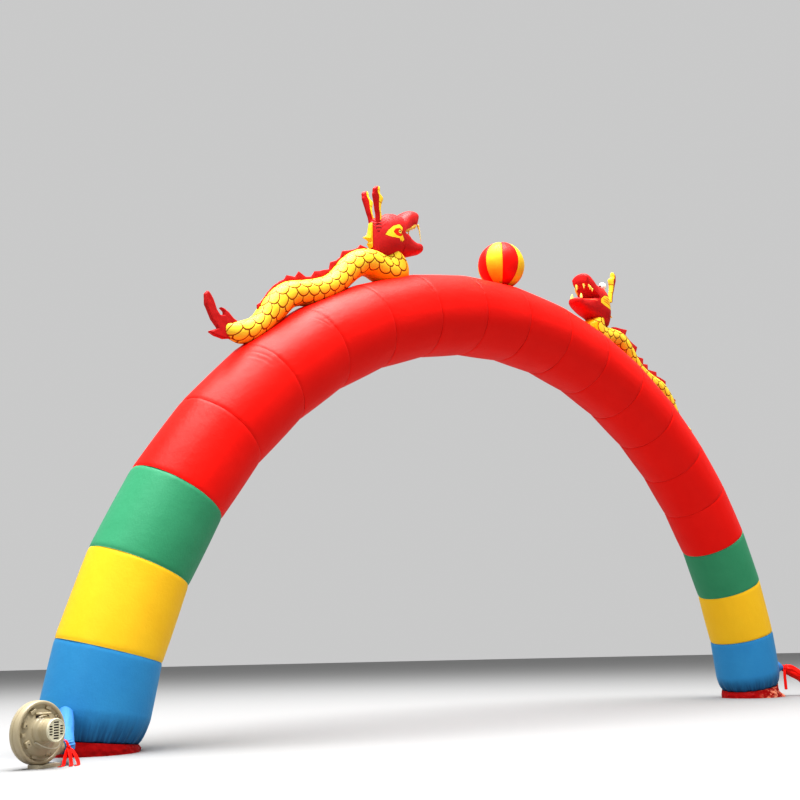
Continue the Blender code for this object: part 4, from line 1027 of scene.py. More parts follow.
LIP_TEETH = [  # x along the upper lip, length, radius
    (2.052, 0.030, 0.016), (2.022, 0.040, 0.018), (1.990, 0.032, 0.016), (1.958, 0.044, 0.019),
    (1.924, 0.034, 0.017), (1.890, 0.046, 0.019), (1.856, 0.036, 0.017), (1.824, 0.050, 0.020),
    (1.790, 0.034, 0.016),
]
FANGS = {  # side: foot x, y, z and tip x, y, z, radius
    -1: [
        (1.752, 0.095, 6.345, 1.742, 0.092, 6.285, 0.017),
        (1.752, -0.095, 6.345, 1.742, -0.092, 6.285, 0.017),
    ],
    1: [
        (1.872, 0.085, 6.400, 1.852, 0.075, 6.265, 0.036),
        (1.880, -0.055, 6.400, 1.866, -0.050, 6.270, 0.036),
        (1.935, -0.120, 6.380, 1.925, -0.118, 6.270, 0.030),
        (1.735, 0.090, 6.080, 1.742, 0.086, 6.185, 0.034),
        (1.735, -0.090, 6.080, 1.742, -0.086, 6.170, 0.026),
    ],
}
LONG_FANG = (1.745, 0.100, 6.345, 1.705, 0.100, 6.105, 0.009)


def fang(side, x, y, z, tip_x, tip_y, tip_z, radius):
    """A padded tooth between two places of the dragon's table, round at its root and pointed at its tip."""
    foot, tip = dragon_point(side, x, y, z), dragon_point(side, tip_x, tip_y, tip_z)
    run = (tip - foot).normalized()
    across = run.cross(Vector((0.0, 1.0, 0.0))).normalized()
    other = run.cross(across)

    def place(around, along):
        turn = math.tau * around
        belly = math.sin(math.pi * (0.22 + 0.78 * along))
        thick = radius * (0.35 + 0.65 * belly) * (1.0 - 0.55 * along)
        thick *= blend_in(-0.10, 0.06, along) * (1.0 - blend_in(0.90, 1.06, along))
        return foot.lerp(tip, along) + (across * math.cos(turn) + other * math.sin(turn)) * thick

    return rolled_cloth(12, 12, place, 0.1, 0.1)


def lip_row(side, x):
    """The snout's row where the upper lip is x from the middle of the arch."""
    low, high = 0.0, 1.0
    for _ in range(30):
        middle = (low + high) / 2
        low, high = (middle, high) if snout_row(side, middle)[0] > x else (low, middle)
    return snout_row(side, low)


def make_teeth(side, ivory):
    """Short teeth along both upper lips, and the fangs."""
    forms = []
    for x, length, radius in LIP_TEETH if side < 0 else LIP_TEETH[5:]:
        x = MOUTH_X - (MOUTH_X - x) * UPPER_JAW_REACH[side]
        *_, half_width, palate = lip_row(side, x)
        for y in (-0.88 * half_width, 0.88 * half_width):
            forms.append(fang(side, x, y, palate + 0.014, x - 0.006, y * 0.98, palate - length, radius))
    forms += [fang(side, *row) for row in FANGS[side]]
    if side < 0:
        x, y, z, tip_x, tip_y, tip_z, radius = LONG_FANG
        forms += [fang(side, x, y * hand, z, tip_x, tip_y * hand, tip_z, radius) for hand in (-1, 1)]
    finish_piece(f"padded_teeth_{SIDES[side]}", joined(forms), ivory)


EYE_RADIUS, EYE_STRETCH, EYE_PLACE = 0.056, 1.12, (2.405, -0.010, 6.432)
PUPIL_RADIUS, PUPIL_FLATNESS, PUPIL_OUT, PUPIL_LOOK = 0.019, 0.6, 0.054, (-0.93, 0.16, -0.12)


def make_eye(side, white, black):
    """The right dragon's round padded eye, standing on its brow."""
    middle = dragon_point(side, *EYE_PLACE)
    form = bmesh.new()
    bmesh.ops.create_uvsphere(form, u_segments=40, v_segments=24, radius=EYE_RADIUS)
    bmesh.ops.scale(form, verts=form.verts, vec=(1.0, 1.0, EYE_STRETCH))
    bmesh.ops.translate(form, verts=form.verts, vec=middle)
    finish_piece(f"padded_eye_{SIDES[side]}", form, white)
    form = bmesh.new()
    bmesh.ops.create_uvsphere(form, u_segments=24, v_segments=14, radius=PUPIL_RADIUS)
    look = Vector(PUPIL_LOOK).normalized()
    for vert in form.verts:
        vert.co -= look * PUPIL_FLATNESS * vert.co.dot(look)
    bmesh.ops.translate(form, verts=form.verts, vec=middle + look * PUPIL_OUT)
    finish_piece(f"padded_pupil_{SIDES[side]}", form, black)


def make_horns(side, finish):
    """Two knobbed horns that spread apart; the right dragon's far one is short."""
    for hand, hand_name in ((-1, "near"), (1, "far")):

        def place(around, along):
            x, z, half_depth, half_width = along_rows(HORN_ROWS, along)
            turn = math.tau * around
            lean = hand * (HORN_SPREAD[side] + (z - HORN_ROWS[0][1]) * HORN_SPLAY[side])
            z = min(z, HORN_KNEE) + max(0.0, z - HORN_KNEE) * HORN_GROWTH[side, hand]
            x += HORN_SHIFT[side] + max(half_depth, 0.004) * math.cos(turn)
            return dragon_point(side, x, lean + max(half_width, 0.004) * math.sin(turn), z)

        form = rolled_cloth(36, 90, place)
        cloth_piece(f"dragon_{SIDES[side]}_horn_{hand_name}", form, finish)


HORN_FRONT = 0.27  # half the share of a horn's girth that is yellow


def horn_finish():
    """Red cloth at the back of a horn and yellow at the front, with painted shade in the creases round the
    knobs.
    """
    cloth = Finish("horn_cloth", (0.50, 0.020, 0.022))
    around, along, _ = cloth.places("UV")
    from_front = abs(around - 0.5)
    yellow = cloth.tint(cloth.mottle(18.0, 4.0) * 0.5, (0.93, 0.74, 0.07), (0.93, 0.45, 0.02))
    # painted shade: dark bands in the creases round the knobs
    crease = (along * 31.0).sine() + cloth.mottle(30.0, 2.0) * 0.1 < -0.90
    yellow = cloth.tint(crease * 0.7, yellow, (0.42, 0.10, 0.01))
    cloth.paint(from_front < HORN_FRONT, yellow)
    cloth.paint((abs(from_front - HORN_FRONT) < 0.012) * 0.6, (0.30, 0.01, 0.01))
    cloth.give("Roughness", 0.43)
    cloth.give("Specular IOR Level", NYLON_SHINE)
    cloth.emboss(cloth.mottle(40.0, 4.0), 0.006, 0.4)
    return cloth


def crest_row(side, index):
    """Foot and tip of the crest at a ring of the body, as the solid has them."""
    back_x, back_z, belly_x, belly_z, _ = body_row(side, index / (2 * (len(BODY_ROWS) - 1)))
    back = dragon_point(side, back_x, 0.0, back_z)
    up = (back - dragon_point(side, belly_x, 0.0, belly_z)).normalized()
    tailwards = Vector((up.z * side, 0.0, -up.x * side))
    height, lean = CREST_ROWS[side][index - CREST_FIRST_RING]
    return back - up * 0.004, back + up * height + tailwards * lean


def make_crest(side, finish):
    """The red fin along the back: soft triangular lobes that lean to the tail, puffed at their feet."""
    rows = [crest_row(side, CREST_FIRST_RING + index) for index in range(len(CREST_ROWS[side]))]

    def place(around, along):
        spot = along * (len(rows) - 1)
        index = min(int(spot), len(rows) - 2)
        foot, tip = (start.lerp(end, spot - index) for start, end in zip(rows[index], rows[index + 1]))
        turn = math.tau * around
        height = 0.5 - 0.5 * math.cos(turn)
        thick = CREST_THICKNESS * 0.62 * math.sin(turn) * (1.0 - 0.45 * height)
        wave = 0.004 * lumps(spot * 0.9, height * 2.0, 5.0) * height
        return foot.lerp(tip, height) + Vector((0.0, thick + wave, 0.0))

    form = rolled_cloth(20, 9 * (len(rows) - 1), place, 0.2, 2.8)
    cloth_piece(f"dragon_{SIDES[side]}_crest", form, finish)


SOFT_VOXEL, SOFT_PITCH = 0.006, 20.0


def soft_copy(node, finish, smoothing, crumple):
    """A cloth piece on a solid's own form: its faces merged, rounded off and crumpled a little."""
    form = bmesh.new()
    form.from_mesh(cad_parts[node].data)
    bmesh.ops.remove_doubles(form, verts=form.verts, dist=1e-5)
    bmesh.ops.recalc_face_normals(form, faces=form.faces)
    rough = linked(f"{node}_rough", mesh_of(form))
    remesh = rough.modifiers.new("even", "REMESH")
    remesh.mode, remesh.voxel_size = "VOXEL", SOFT_VOXEL
    relax = rough.modifiers.new("rounded", "SMOOTH")
    relax.factor, relax.iterations = 0.5, smoothing
    shape = rough.evaluated_get(bpy.context.evaluated_depsgraph_get())
    form = bmesh.new()
    form.from_mesh(shape.to_mesh())
    bpy.data.objects.remove(rough)
    form.normal_update()
    moves = [(vert, vert.normal * crumple * lumps(*(vert.co * SOFT_PITCH))) for vert in form.verts]
    for vert, move in moves:
        vert.co += move
    cloth_piece(node, form, finish)


def make_dragons(orange):
    """Both dragons, in the printed cloths and colours that they share."""
    red, deep = (0.56, 0.034, 0.032), (0.40, 0.010, 0.012)
    dragon_cloth = cloth_finish("dragon_cloth", red, deep)
    ivory = cloth_finish("ivory_cloth", (0.93, 0.78, 0.22), (0.92, 0.62, 0.08))
    scales, horns = scale_finish(), horn_finish()
    for side, side_name in SIDES.items():
        make_dragon_body(side, scales)
        make_head(side, face_finish(side, red, deep), jaw_finish(side, red, deep))
        make_teeth(side, ivory)
        make_horns(side, horns)
        make_crest(side, dragon_cloth)
        soft_copy(f"dragon_{side_name}_tail", dragon_cloth, 6, 0.0025)
        soft_copy(f"dragon_{side_name}_ruff", orange, 2, 0.002)
    white = cloth_finish("white_cloth", (0.86, 0.85, 0.78), (0.78, 0.76, 0.66))
    black = cloth_finish("black_cloth", (0.012, 0.010, 0.010), (0.02, 0.015, 0.012))
    make_eye(1, white, black)


# The blower: local z runs out of the motor side along the fan's axis, local x to the outlet, local y up


def blower_frame(height=BLOWER_AXIS_HEIGHT):
    """Where the blower's own axes stand, for an axis at that height."""
    axis = Vector((math.sin(BLOWER_HEADING), -math.cos(BLOWER_HEADING), 0.0))
    outlet = Vector((math.cos(BLOWER_HEADING), math.sin(BLOWER_HEADING), 0.0))
    place = Matrix((outlet, Vector((0.0, 0.0, 1.0)), axis)).transposed().to_4x4()
    place.translation = ARCH_MIDDLE + Vector((*BLOWER_PLACE, height))
    return place


HOUSING_PROFILE = [  # radius, position along the axis
    (0.0, -0.1200), (0.060, -0.1200), (0.064, -0.1170), (0.150, -0.1170), (0.166, -0.1200),
    (0.215, -0.1185), (0.236, -0.1152), (0.252, -0.1085), (0.2626, -0.0985), (0.2670, -0.0860),
    (0.2680, -0.0740), (0.2680, -0.0600), (0.2650, -0.0585), (0.2650, -0.0545), (0.2680, -0.0530),
    (0.2680, -0.0220), (0.2668, -0.0110), (0.2630, -0.0045), (0.2570, -0.0010), (0.2500, 0.0),
    (0.2420, -0.0010), (0.2365, -0.0040), (0.2335, -0.0090), (0.2310, -0.0180), (0.2280, -0.0220),
    (0.2220, -0.0245), (0.2150, -0.0258), (0.2080, -0.0250), (0.2030, -0.0215), (0.1985, -0.0165),
    (0.1920, -0.0135), (0.1690, -0.0065), (0.1440, 0.0015), (0.1390, 0.0060), (0.1350, 0.0105),
    (0.1290, 0.0120), (0.0, 0.0120),
]
FACE_PROFILE = HOUSING_PROFILE[19:]  # the motor side's face, from its rim inwards
COWL_PROFILE = [  # radius, position, over the housing's face
    (0.0, 0.0123), (0.1240, 0.0123), (0.1230, 0.0160), (0.1190, 0.0270), (0.1120, 0.0345), (0.1020, 0.0405),
    (0.0965, 0.0470), (0.0945, 0.0580), (0.0945, 0.0880), (0.0925, 0.0895), (0.0925, 0.0925),
    (0.0945, 0.0940), (0.0940, 0.1340), (0.0925, 0.1425), (0.0895, 0.1490), (0.0850, 0.1520), (0.0, 0.1520),
]
LUGS = [  # moulded lugs on the housing's face: x, y, half width, half height, how far they stand out
    (-0.092, 0.176, 0.032, 0.017, 0.017),
    (0.080, 0.203, 0.028, 0.017, 0.017),
    (-0.176, 0.066, 0.024, 0.020, 0.017),
    (-0.192, -0.012, 0.017, 0.018, 0.013),
    (-0.152, -0.087, 0.028, 0.025, 0.021),
    (0.176, 0.126, 0.018, 0.018, 0.014),
    (0.110, -0.178, 0.024, 0.016, 0.013),
    (-0.066, -0.200, 0.030, 0.014, 0.013),
]
LUG_ROOT, LUG_ROUNDING = 0.012, 0.004  # how deep a lug sits in the face, and its rounded edges
SCREWED_LUGS, SCREW_SINK = (4, 5, 2, 6), 0.0002  # which lugs carry a screw, and how deep it sits in them
SCREW_PROFILE = [
    (0.0, 0.0), (0.0058, 0.0), (0.0058, 0.0022), (0.0045, 0.0034),
    (0.0022, 0.0036), (0.0020, 0.0020), (0.0, 0.0020),
]
OUTLET_ROWS = [  # distance back from the mouth, half height, half width, squareness
    (0.200, 0.062, 0.042, 0.45),
    (0.060, 0.062, 0.044, 0.45),
    (0.035, 0.056, 0.050, 1.0),
    (GAP, 0.056, 0.050, 1.0),
]
HANDLE_HEIGHT, HANDLE_RADIUS = 0.158, 0.010
# A dark sheet on the face between grip and cowl, laid as painted shadow under the grip: distance from the
# axis, half width, half its turn, half thickness
SHADOW_PATCH_RADIUS, SHADOW_PATCH_HALF_WIDTH, SHADOW_PATCH_SPREAD, SHADOW_PATCH_THICKNESS = 0.146, 0.019, 0.52, 0.0012
HANDLE_ROWS = [  # sideways, out from the face
    (-0.066, -0.012), (-0.065, 0.018), (-0.056, 0.032), (-0.038, 0.038), (0.0, 0.0385), (0.038, 0.038),
    (0.056, 0.032), (0.065, 0.018), (0.066, -0.012),
]


def lug_form(x, y, half_width, half_height, out):
    """A rounded block that stands out of the housing's face, its width across the way to the axis."""
    form = bmesh.new()
    bmesh.ops.create_cube(form, size=1.0)
    height = out + LUG_ROOT
    bmesh.ops.scale(form, verts=form.verts, vec=(2 * half_height, 2 * half_width, height))
    bmesh.ops.rotate(form, verts=form.verts, matrix=Matrix.Rotation(math.atan2(y, x), 3, "Z"))
    middle = read_off(FACE_PROFILE, math.hypot(x, y)) - LUG_ROOT + height / 2
    bmesh.ops.translate(form, verts=form.verts, vec=(x, y, middle))
    rounding = {"offset": LUG_ROUNDING, "segments": 3, "affect": "EDGES", "profile": 0.5, "material": -1}
    bmesh.ops.bevel(form, geom=form.edges[:], **rounding)
    bmesh.ops.transform(form, verts=form.verts, matrix=blower_frame())
    return form


def outlet_form():
    """The duct out of the housing, round where the sleeve goes on."""
    mouth = Vector(SLEEVE_ROWS[0][:3])
    along_duct = (Vector(SLEEVE_ROWS[1][:3]) - mouth).normalized()
    up = Vector((0.0, 0.0, 1.0))
    across = along_duct.cross(up).normalized()

    def place(around, along):
        back, half_height, half_width, squareness = along_rows(OUTLET_ROWS, along)
        rise, reach = oval(math.tau * around, min(1.0, squareness))
        return ARCH_MIDDLE + mouth - along_duct * back + up * half_height * rise + across * half_width * reach

    return rolled_cloth(48, 16, place)


def screw_form(x, y, out):
    """The head of a cover screw, standing on its lug."""
    top = read_off(FACE_PROFILE, math.hypot(x, y)) + out
    return turned(SCREW_PROFILE, 20, blower_frame() @ Matrix.Translation((x, y, top - SCREW_SINK)))


def make_blower(olive, pale, rubber, dark):
    """The blower; its foot stays the solid's own and takes the pale plastic."""
    housing = [turned(HOUSING_PROFILE, 144, blower_frame()), *(lug_form(*lug) for lug in LUGS), outlet_form()]
    finish_piece("moulded_housing", joined(housing), olive, "blower_housing", sharp=35.0)
    form = turned(COWL_PROFILE, 112, blower_frame(BLOWER_AXIS_HEIGHT + COWL_LIFT))
    finish_piece("moulded_cowl", form, olive, "blower_cowl", sharp=35.0)
    screws = [screw_form(x, y, out) for x, y, _, _, out in (LUGS[index] for index in SCREWED_LUGS)]
    finish_piece("cover_screws", joined(screws), dark)
    make_handle(olive, dark)
    make_lead(rubber)
    make_grille(pale, dark)
    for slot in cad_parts["blower_foot"].material_slots:
        slot.material = pale.material


def make_handle(olive, dark):
    """The grip over the cowl, and a dark sheet on the face under it as painted shadow."""
    place = blower_frame()
    rows = [(*(place @ Vector((x, HANDLE_HEIGHT, out))), HANDLE_RADIUS) for x, out in HANDLE_ROWS]
    finish_piece("moulded_grip", swept(rows, 24, 64), olive, "blower_handle")
    # painted shadow: a thin dark sheet on the face under the grip
    shadow_patch = bmesh.new()
    bmesh.ops.create_uvsphere(shadow_patch, u_segments=48, v_segments=12, radius=1.0)
    for vert in shadow_patch.verts:
        turn, radius = SHADOW_PATCH_SPREAD * vert.co.x, SHADOW_PATCH_RADIUS + SHADOW_PATCH_HALF_WIDTH * vert.co.y
        over = read_off(FACE_PROFILE, radius) + SHADOW_PATCH_THICKNESS * vert.co.z
        vert.co = place @ Vector((radius * math.sin(turn), radius * math.cos(turn), over))
    bmesh.ops.recalc_face_normals(shadow_patch, faces=shadow_patch.faces)
    finish_piece("painted_shadow_under_grip", shadow_patch, dark)


GRILLE_PROFILE = [  # radius, position, over the housing's face
    (0.0, 0.1526), (0.0840, 0.1526), (0.0955, 0.1450), (0.0985, 0.1470), (0.0985, 0.1600), (0.0965, 0.1650),
    (0.0925, 0.1668), (0.0885, 0.1650), (0.0865, 0.1622), (0.0, 0.1650),
]
GRILLE_SLOTS = [  # sideways, half width, how many, height of the lowest
    (0.0, 0.0300, 7, -0.066),
    (-0.0585, 0.0185, 4, -0.033),
    (0.0585, 0.0185, 4, -0.033),
]
GRILLE_PITCH, GRILLE_OPEN = 0.0220, 0.0062  # from slot to slot, and half a slot's height
SLOT_CORNERS, SLOT_FROM, SLOT_TO = 16, 0.1400, 0.1800  # the cutter's corners, and where it starts and ends
# a thin dark disc behind the grille, painted shade seen through its slots
FAN_SHADOW_PROFILE = [(0.0, 0.1522), (0.0830, 0.1522), (0.0830, 0.1525), (0.0, 0.1525)]


def slot_form(sideways, height, half_width):
    """The shape that cuts one slot with round ends."""
    form = bmesh.new()
    corners = []
    for step in range(SLOT_CORNERS):
        turn = math.tau * (step + 0.5) / SLOT_CORNERS
        end = math.copysign(half_width - GRILLE_OPEN, math.cos(turn))
        x, y = sideways + end + GRILLE_OPEN * math.cos(turn), height + GRILLE_OPEN * math.sin(turn)
        corners.append(form.verts.new((x, y, SLOT_FROM)))
    face = form.faces.new(corners)
    far = bmesh.ops.extrude_face_region(form, geom=[face], use_keep_orig=True)["geom"]
    moved = [part for part in far if isinstance(part, bmesh.types.BMVert)]
    bmesh.ops.translate(form, verts=moved, vec=(0.0, 0.0, SLOT_TO - SLOT_FROM))
    bmesh.ops.recalc_face_normals(form, faces=form.faces)
    bmesh.ops.transform(form, verts=form.verts, matrix=blower_frame(BLOWER_AXIS_HEIGHT + COWL_LIFT))
    return form


def make_grille(pale, dark):
    """The pale end cap of the cowl: a raised rim and three columns of open slots with round ends, with a dark
    disc behind them as painted shade.
    """
    place = blower_frame(BLOWER_AXIS_HEIGHT + COWL_LIFT)
    slots = [
        slot_form(sideways, lowest + row * GRILLE_PITCH, half_width)
        for sideways, half_width, count, lowest in GRILLE_SLOTS
        for row in range(count)
    ]
    plate = linked("grille_plate", mesh_of(turned(GRILLE_PROFILE, 96, place)))
    cutter = linked("grille_cutter", mesh_of(joined(slots)))
    opening = plate.modifiers.new("slots", "BOOLEAN")
    opening.operation, opening.object, opening.solver = "DIFFERENCE", cutter, "EXACT"
    opened = bpy.data.meshes.new_from_object(plate.evaluated_get(bpy.context.evaluated_depsgraph_get()))
    form = bmesh.new()
    form.from_mesh(opened)
    for mesh in (plate.data, cutter.data, opened):
        bpy.data.meshes.remove(mesh)
    finish_piece("moulded_grille", form, pale, "blower_grille", sharp=35.0)
    # painted shade: a dark disc behind the slots
    finish_piece("painted_shadow_behind_grille", turned(FAN_SHADOW_PROFILE, 64, place), dark)


LEAD_RADIUS = 0.004
LEAD_POINTS = 40
BOOT_RADIUS, BOOT_TAPER, BOOT_RIB = 0.0075, 0.0009, 0.0007
LEAD_ROWS = [  # sideways, height over the axis, out from the face
    (-0.085, -0.078, 0.0123), (-0.085, -0.078, 0.030), (-0.075, -0.092, 0.052), (-0.050, -0.110, 0.070),
    (-0.010, -0.124, 0.082), (0.040, -0.132, 0.088), (0.080, -0.128, 0.090), (0.104, -0.106, 0.092),
    (0.112, -0.070, 0.094), (0.112, -0.030, 0.096), (0.112, -0.005, 0.097), (0.106, 0.014, 0.098),
    (0.0990, 0.0215, 0.098), (0.0934, 0.0220, 0.098),
]


def make_lead(rubber):
    """The motor's lead, from under the cowl round to its side, with a short tapered boot at each end."""
    shares = [step / (LEAD_POINTS - 1) for step in range(LEAD_POINTS)]
    points = [blower_frame() @ Vector(along_rows(LEAD_ROWS, share)) for share in shares]
    curve = bpy.data.curves.new("motor_lead", "CURVE")
    curve.dimensions = "3D"
    curve.bevel_depth, curve.bevel_resolution, curve.use_fill_caps = LEAD_RADIUS, 3, True
    spline = curve.splines.new("POLY")
    spline.points.add(len(points) - 1)
    for spot, point in zip(spline.points, points):
        spot.co = (*point, 1.0)
    curve.materials.append(rubber.material)
    lead = linked("motor_lead", curve)
    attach(lead, "root")
    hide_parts("blower_lead")

    def ribbed(_, along, radius):
        return radius - BOOT_RIB * (math.sin(along * 30.0) > 0.2)

    for name, ends in (("start", points[:4]), ("end", points[:-5:-1])):
        rows = [(*point, BOOT_RADIUS - BOOT_TAPER * index) for index, point in enumerate(ends)]
        finish_piece(f"lead_boot_{name}", swept(rows, 20, 16, ribbed), rubber)


# The sleeves and their ties: x and y from the middle of the arch

SLEEVE_NECK_RADIUS, SLEEVE_RADIUS = 0.060, 0.072
TIE_WIDTH, TIE_THICKNESS, TIE_END_WIDTH = 0.028, 0.006, 0.042
SLEEVE_ROWS = [  # x, y, z, radius
    (-7.0700, -0.9414, 0.150, SLEEVE_NECK_RADIUS),
    (-7.0330, -0.9305, 0.150, SLEEVE_NECK_RADIUS),
    (-6.992, -0.900, 0.150, 0.068),
    (-6.965, -0.840, 0.156, SLEEVE_RADIUS),
    (-6.910, -0.720, 0.192, SLEEVE_RADIUS),
    (-6.838, -0.580, 0.250, SLEEVE_RADIUS),
    (-6.765, -0.440, 0.325, SLEEVE_RADIUS),
    (-6.693, -0.300, 0.385, SLEEVE_RADIUS),
    (-6.632, -0.180, 0.410, SLEEVE_RADIUS),
]
TIE_KNOT = (-7.0325, -1.0015, 0.150)
TIE_END_ROWS = [
    [
        (-7.0331, -0.9998, 0.150), (-7.038, -1.030, 0.118), (-7.046, -1.066, 0.066),
        (-7.056, -1.098, 0.022), (-7.072, -1.130, 0.0045), (-7.100, -1.170, 0.0045),
    ],
    [
        (-7.0360, -0.9985, 0.146), (-7.062, -1.022, 0.108), (-7.092, -1.052, 0.056),
        (-7.116, -1.080, 0.014), (-7.140, -1.108, 0.0045), (-7.185, -1.140, 0.0045),
    ],
    [
        (-7.0290, -0.9985, 0.146), (-7.006, -1.020, 0.122), (-6.990, -1.052, 0.076),
        (-6.986, -1.086, 0.030), (-7.004, -1.122, 0.0045), (-7.048, -1.160, 0.0045),
    ],
]


def in_place(rows):
    """Rows from the middle of the arch, moved to where it stands."""
    return [(row[0] + ARCH_MIDDLE.x, row[1] + ARCH_MIDDLE.y, *row[2:]) for row in rows]


def make_sleeve(finish):
    """The blue sleeve from the outlet to the leg: blown up, wrinkled at its bend, gathered by its tie."""

    def shape(turn, along, radius):
        gather = (1.0 - blend_in(0.10, 0.34, along)) * blend_in(0.0, 0.06, along)
        radius += 0.0048 * gather * math.cos(14 * turn + 2.0 * ring_lumps(turn, 1.0, 3.0))
        bend = fade(along - 0.36, 0.10) * blend_in(-0.4, 0.8, -math.sin(turn))
        radius += 0.0035 * bend * math.sin(along * 130.0 + 1.5 * math.sin(turn))
        radius += 0.0035 * ring_lumps(turn, 2.2, along * 9.0)
        return radius + 0.0012 * ring_lumps(turn, 6.0, along * 30.0)

    form = swept(in_place(SLEEVE_ROWS), 96, 150, shape, 0.45, 1.1)
    cloth_piece("inflation_sleeve", form, finish)


def strap(path, wide, seed):
    """A flat strap along a path of points, always as wide as twice the given vector, its edges rounded."""

    def place(around, along):
        middle, run = path_at(path, along)
        out = run.cross(wide).normalized()
        rise, reach = oval(math.tau * around, 0.5)
        curl = 0.0015 * lumps(along * 11.0, seed, reach * 0.8) * blend_in(0.0, 0.2, along)
        narrow = 0.65 + 0.35 * blend_in(0.0, 0.15, along) - 0.12 * lumps(along * 7.0, seed, 2.0)
        return middle + wide * reach * narrow + out * (TIE_THICKNESS / 2 * rise + curl)

    return rolled_cloth(20, 60, place, 0.07, 0.4)


def hoop(middle, axis, radius, seed):
    """A strap drawn tight round a neck: a ring with a flat, slightly creased band for its section."""
    across = axis.cross(Vector((0.0, 0.0, 1.0))).normalized()
    up = across.cross(axis)

    def place(around, along):
        turn = math.tau * along
        rise, reach = oval(math.tau * around, 0.55)
        out = up * math.cos(turn) + across * math.sin(turn)
        height = radius + TIE_THICKNESS / 2 * (1.0 + rise) + 0.0012 * ring_lumps(turn, 4.0, seed + reach)
        return middle + out * height + axis * TIE_WIDTH / 2 * reach

    return rolled_cloth(16, 96, place, 0.07, 0.4)


def knot_form(middle, size, seed):
    """A pulled knot: a small crossed lump of strap."""
    form = bmesh.new()
    bmesh.ops.create_icosphere(form, subdivisions=4, radius=size / 2)
    for vert in form.verts:
        x, y, z = vert.co / (size / 2)
        wrap = 0.16 * math.cos(5.0 * x + 3.0 * z) + 0.12 * math.cos(6.0 * y - 4.0 * x)
        vert.co *= 1.0 + wrap + 0.1 * lumps(x * 2, y * 2, z * 2 + seed)
    bmesh.ops.translate(form, verts=form.verts, vec=middle)
    return form


def make_sleeve_tie(finish):
    """The strap round the sleeve's neck, its knot and three loose ends."""
    mouth, neck = Vector(SLEEVE_ROWS[0][:3]), Vector(SLEEVE_ROWS[1][:3])
    run = (neck - mouth).normalized()
    forms = [hoop(ARCH_MIDDLE + (mouth + neck) / 2, run, SLEEVE_NECK_RADIUS, 1.0)]
    forms.append(knot_form(ARCH_MIDDLE + Vector(TIE_KNOT), 0.034, 2.0))
    for index, path in enumerate(TIE_END_ROWS):
        forms.append(strap(in_place(path), run * TIE_END_WIDTH / 2, 3.0 + index))
    cloth_piece("sleeve_tie", joined(forms), finish)


SPARE_HEADING, SPARE_GATHERS, SPARE_GATHER_DEPTH = math.radians(-36.0), 12, 0.05
STUB_ROWS = [  # distance from the leg's axis, z, half height, half width
    (0.380, 0.505, 0.112, 0.112),
    (0.500, 0.505, 0.108, 0.108),
    (0.550, 0.502, 0.090, 0.092),
    (0.585, 0.498, 0.062, 0.067),
    (0.605, 0.4938, 0.045, 0.050),
    (0.630, 0.4910, 0.045, 0.050),
]
LIMP_ROWS = [
    (0.6303, 0.49097, 0.045, 0.050),
    (0.6553, 0.48817, 0.045, 0.050),
    (0.690, 0.480, 0.075, 0.084),
    (0.750, 0.455, 0.092, 0.100),
    (0.840, 0.405, 0.090, 0.105),
    (0.930, 0.345, 0.085, 0.110),
    (1.030, 0.260, 0.080, 0.115),
    (1.130, 0.165, 0.070, 0.120),
    (1.250, 0.075, 0.062, 0.125),
    (1.380, 0.048, 0.0477, 0.125),
    (1.500, 0.038, 0.0377, 0.112),
    (1.560, 0.028, 0.0277, 0.070),
]
SPARE_TIE_MIDDLE, SPARE_TIE_KNOT, SPARE_TIE_WIDTH = (0.630, 0.0, 0.4910), (0.630, -0.056, 0.487), 0.052
SPARE_TIE_END_ROWS = [  # distance, across, z
    (0.630, -0.0565, 0.491), (0.628, -0.0640, 0.430), (0.626, -0.0670, 0.350), (0.628, -0.0690, 0.260),
    (0.631, -0.0710, 0.180), (0.634, -0.0720, 0.120),
]


def spare_point(distance, across, z):
    """A point beside the right leg, out along the unused sleeve."""
    out = Vector((math.cos(SPARE_HEADING), math.sin(SPARE_HEADING), 0.0))
    sideways = Vector((-math.sin(SPARE_HEADING), math.cos(SPARE_HEADING), 0.0))
    return ARCH_MIDDLE + Vector((leg_points(1)[-1].x, 0.0, z)) + out * distance + sideways * across


def spare_form(rows, sides, steps, crumple, gather_at):
    """A stretch of the unused sleeve, gathered at a share of its length and crumpled where it hangs limp."""

    def place(around, along):
        turn = math.tau * around
        distance, z, half_height, half_width = along_rows(rows, along)
        ahead, behind = along_rows(rows, min(1.0, along + 0.01)), along_rows(rows, max(0.0, along - 0.01))
        run, fall = ahead[0] - behind[0], ahead[1] - behind[1]
        length = max(1e-6, math.hypot(run, fall))
        dents = 0.16 * ring_lumps(turn, 2.2, along * 7.0) + 0.07 * ring_lumps(turn, 5.0, along * 17.0)
        swell = 1.0 + blend_in(0.0, 0.25, along) * crumple * dents
        swell += SPARE_GATHER_DEPTH * math.cos(SPARE_GATHERS * turn) * fade(along - gather_at, 0.10)
        rise = half_height * swell * math.cos(turn)
        across = half_width * swell * math.sin(turn)
        point = spare_point(distance - rise * fall / length, across, z + rise * run / length)
        point.z = max(point.z, 0.0005)
        return point

    return rolled_cloth(sides, steps, place, 0.6, 1.2)


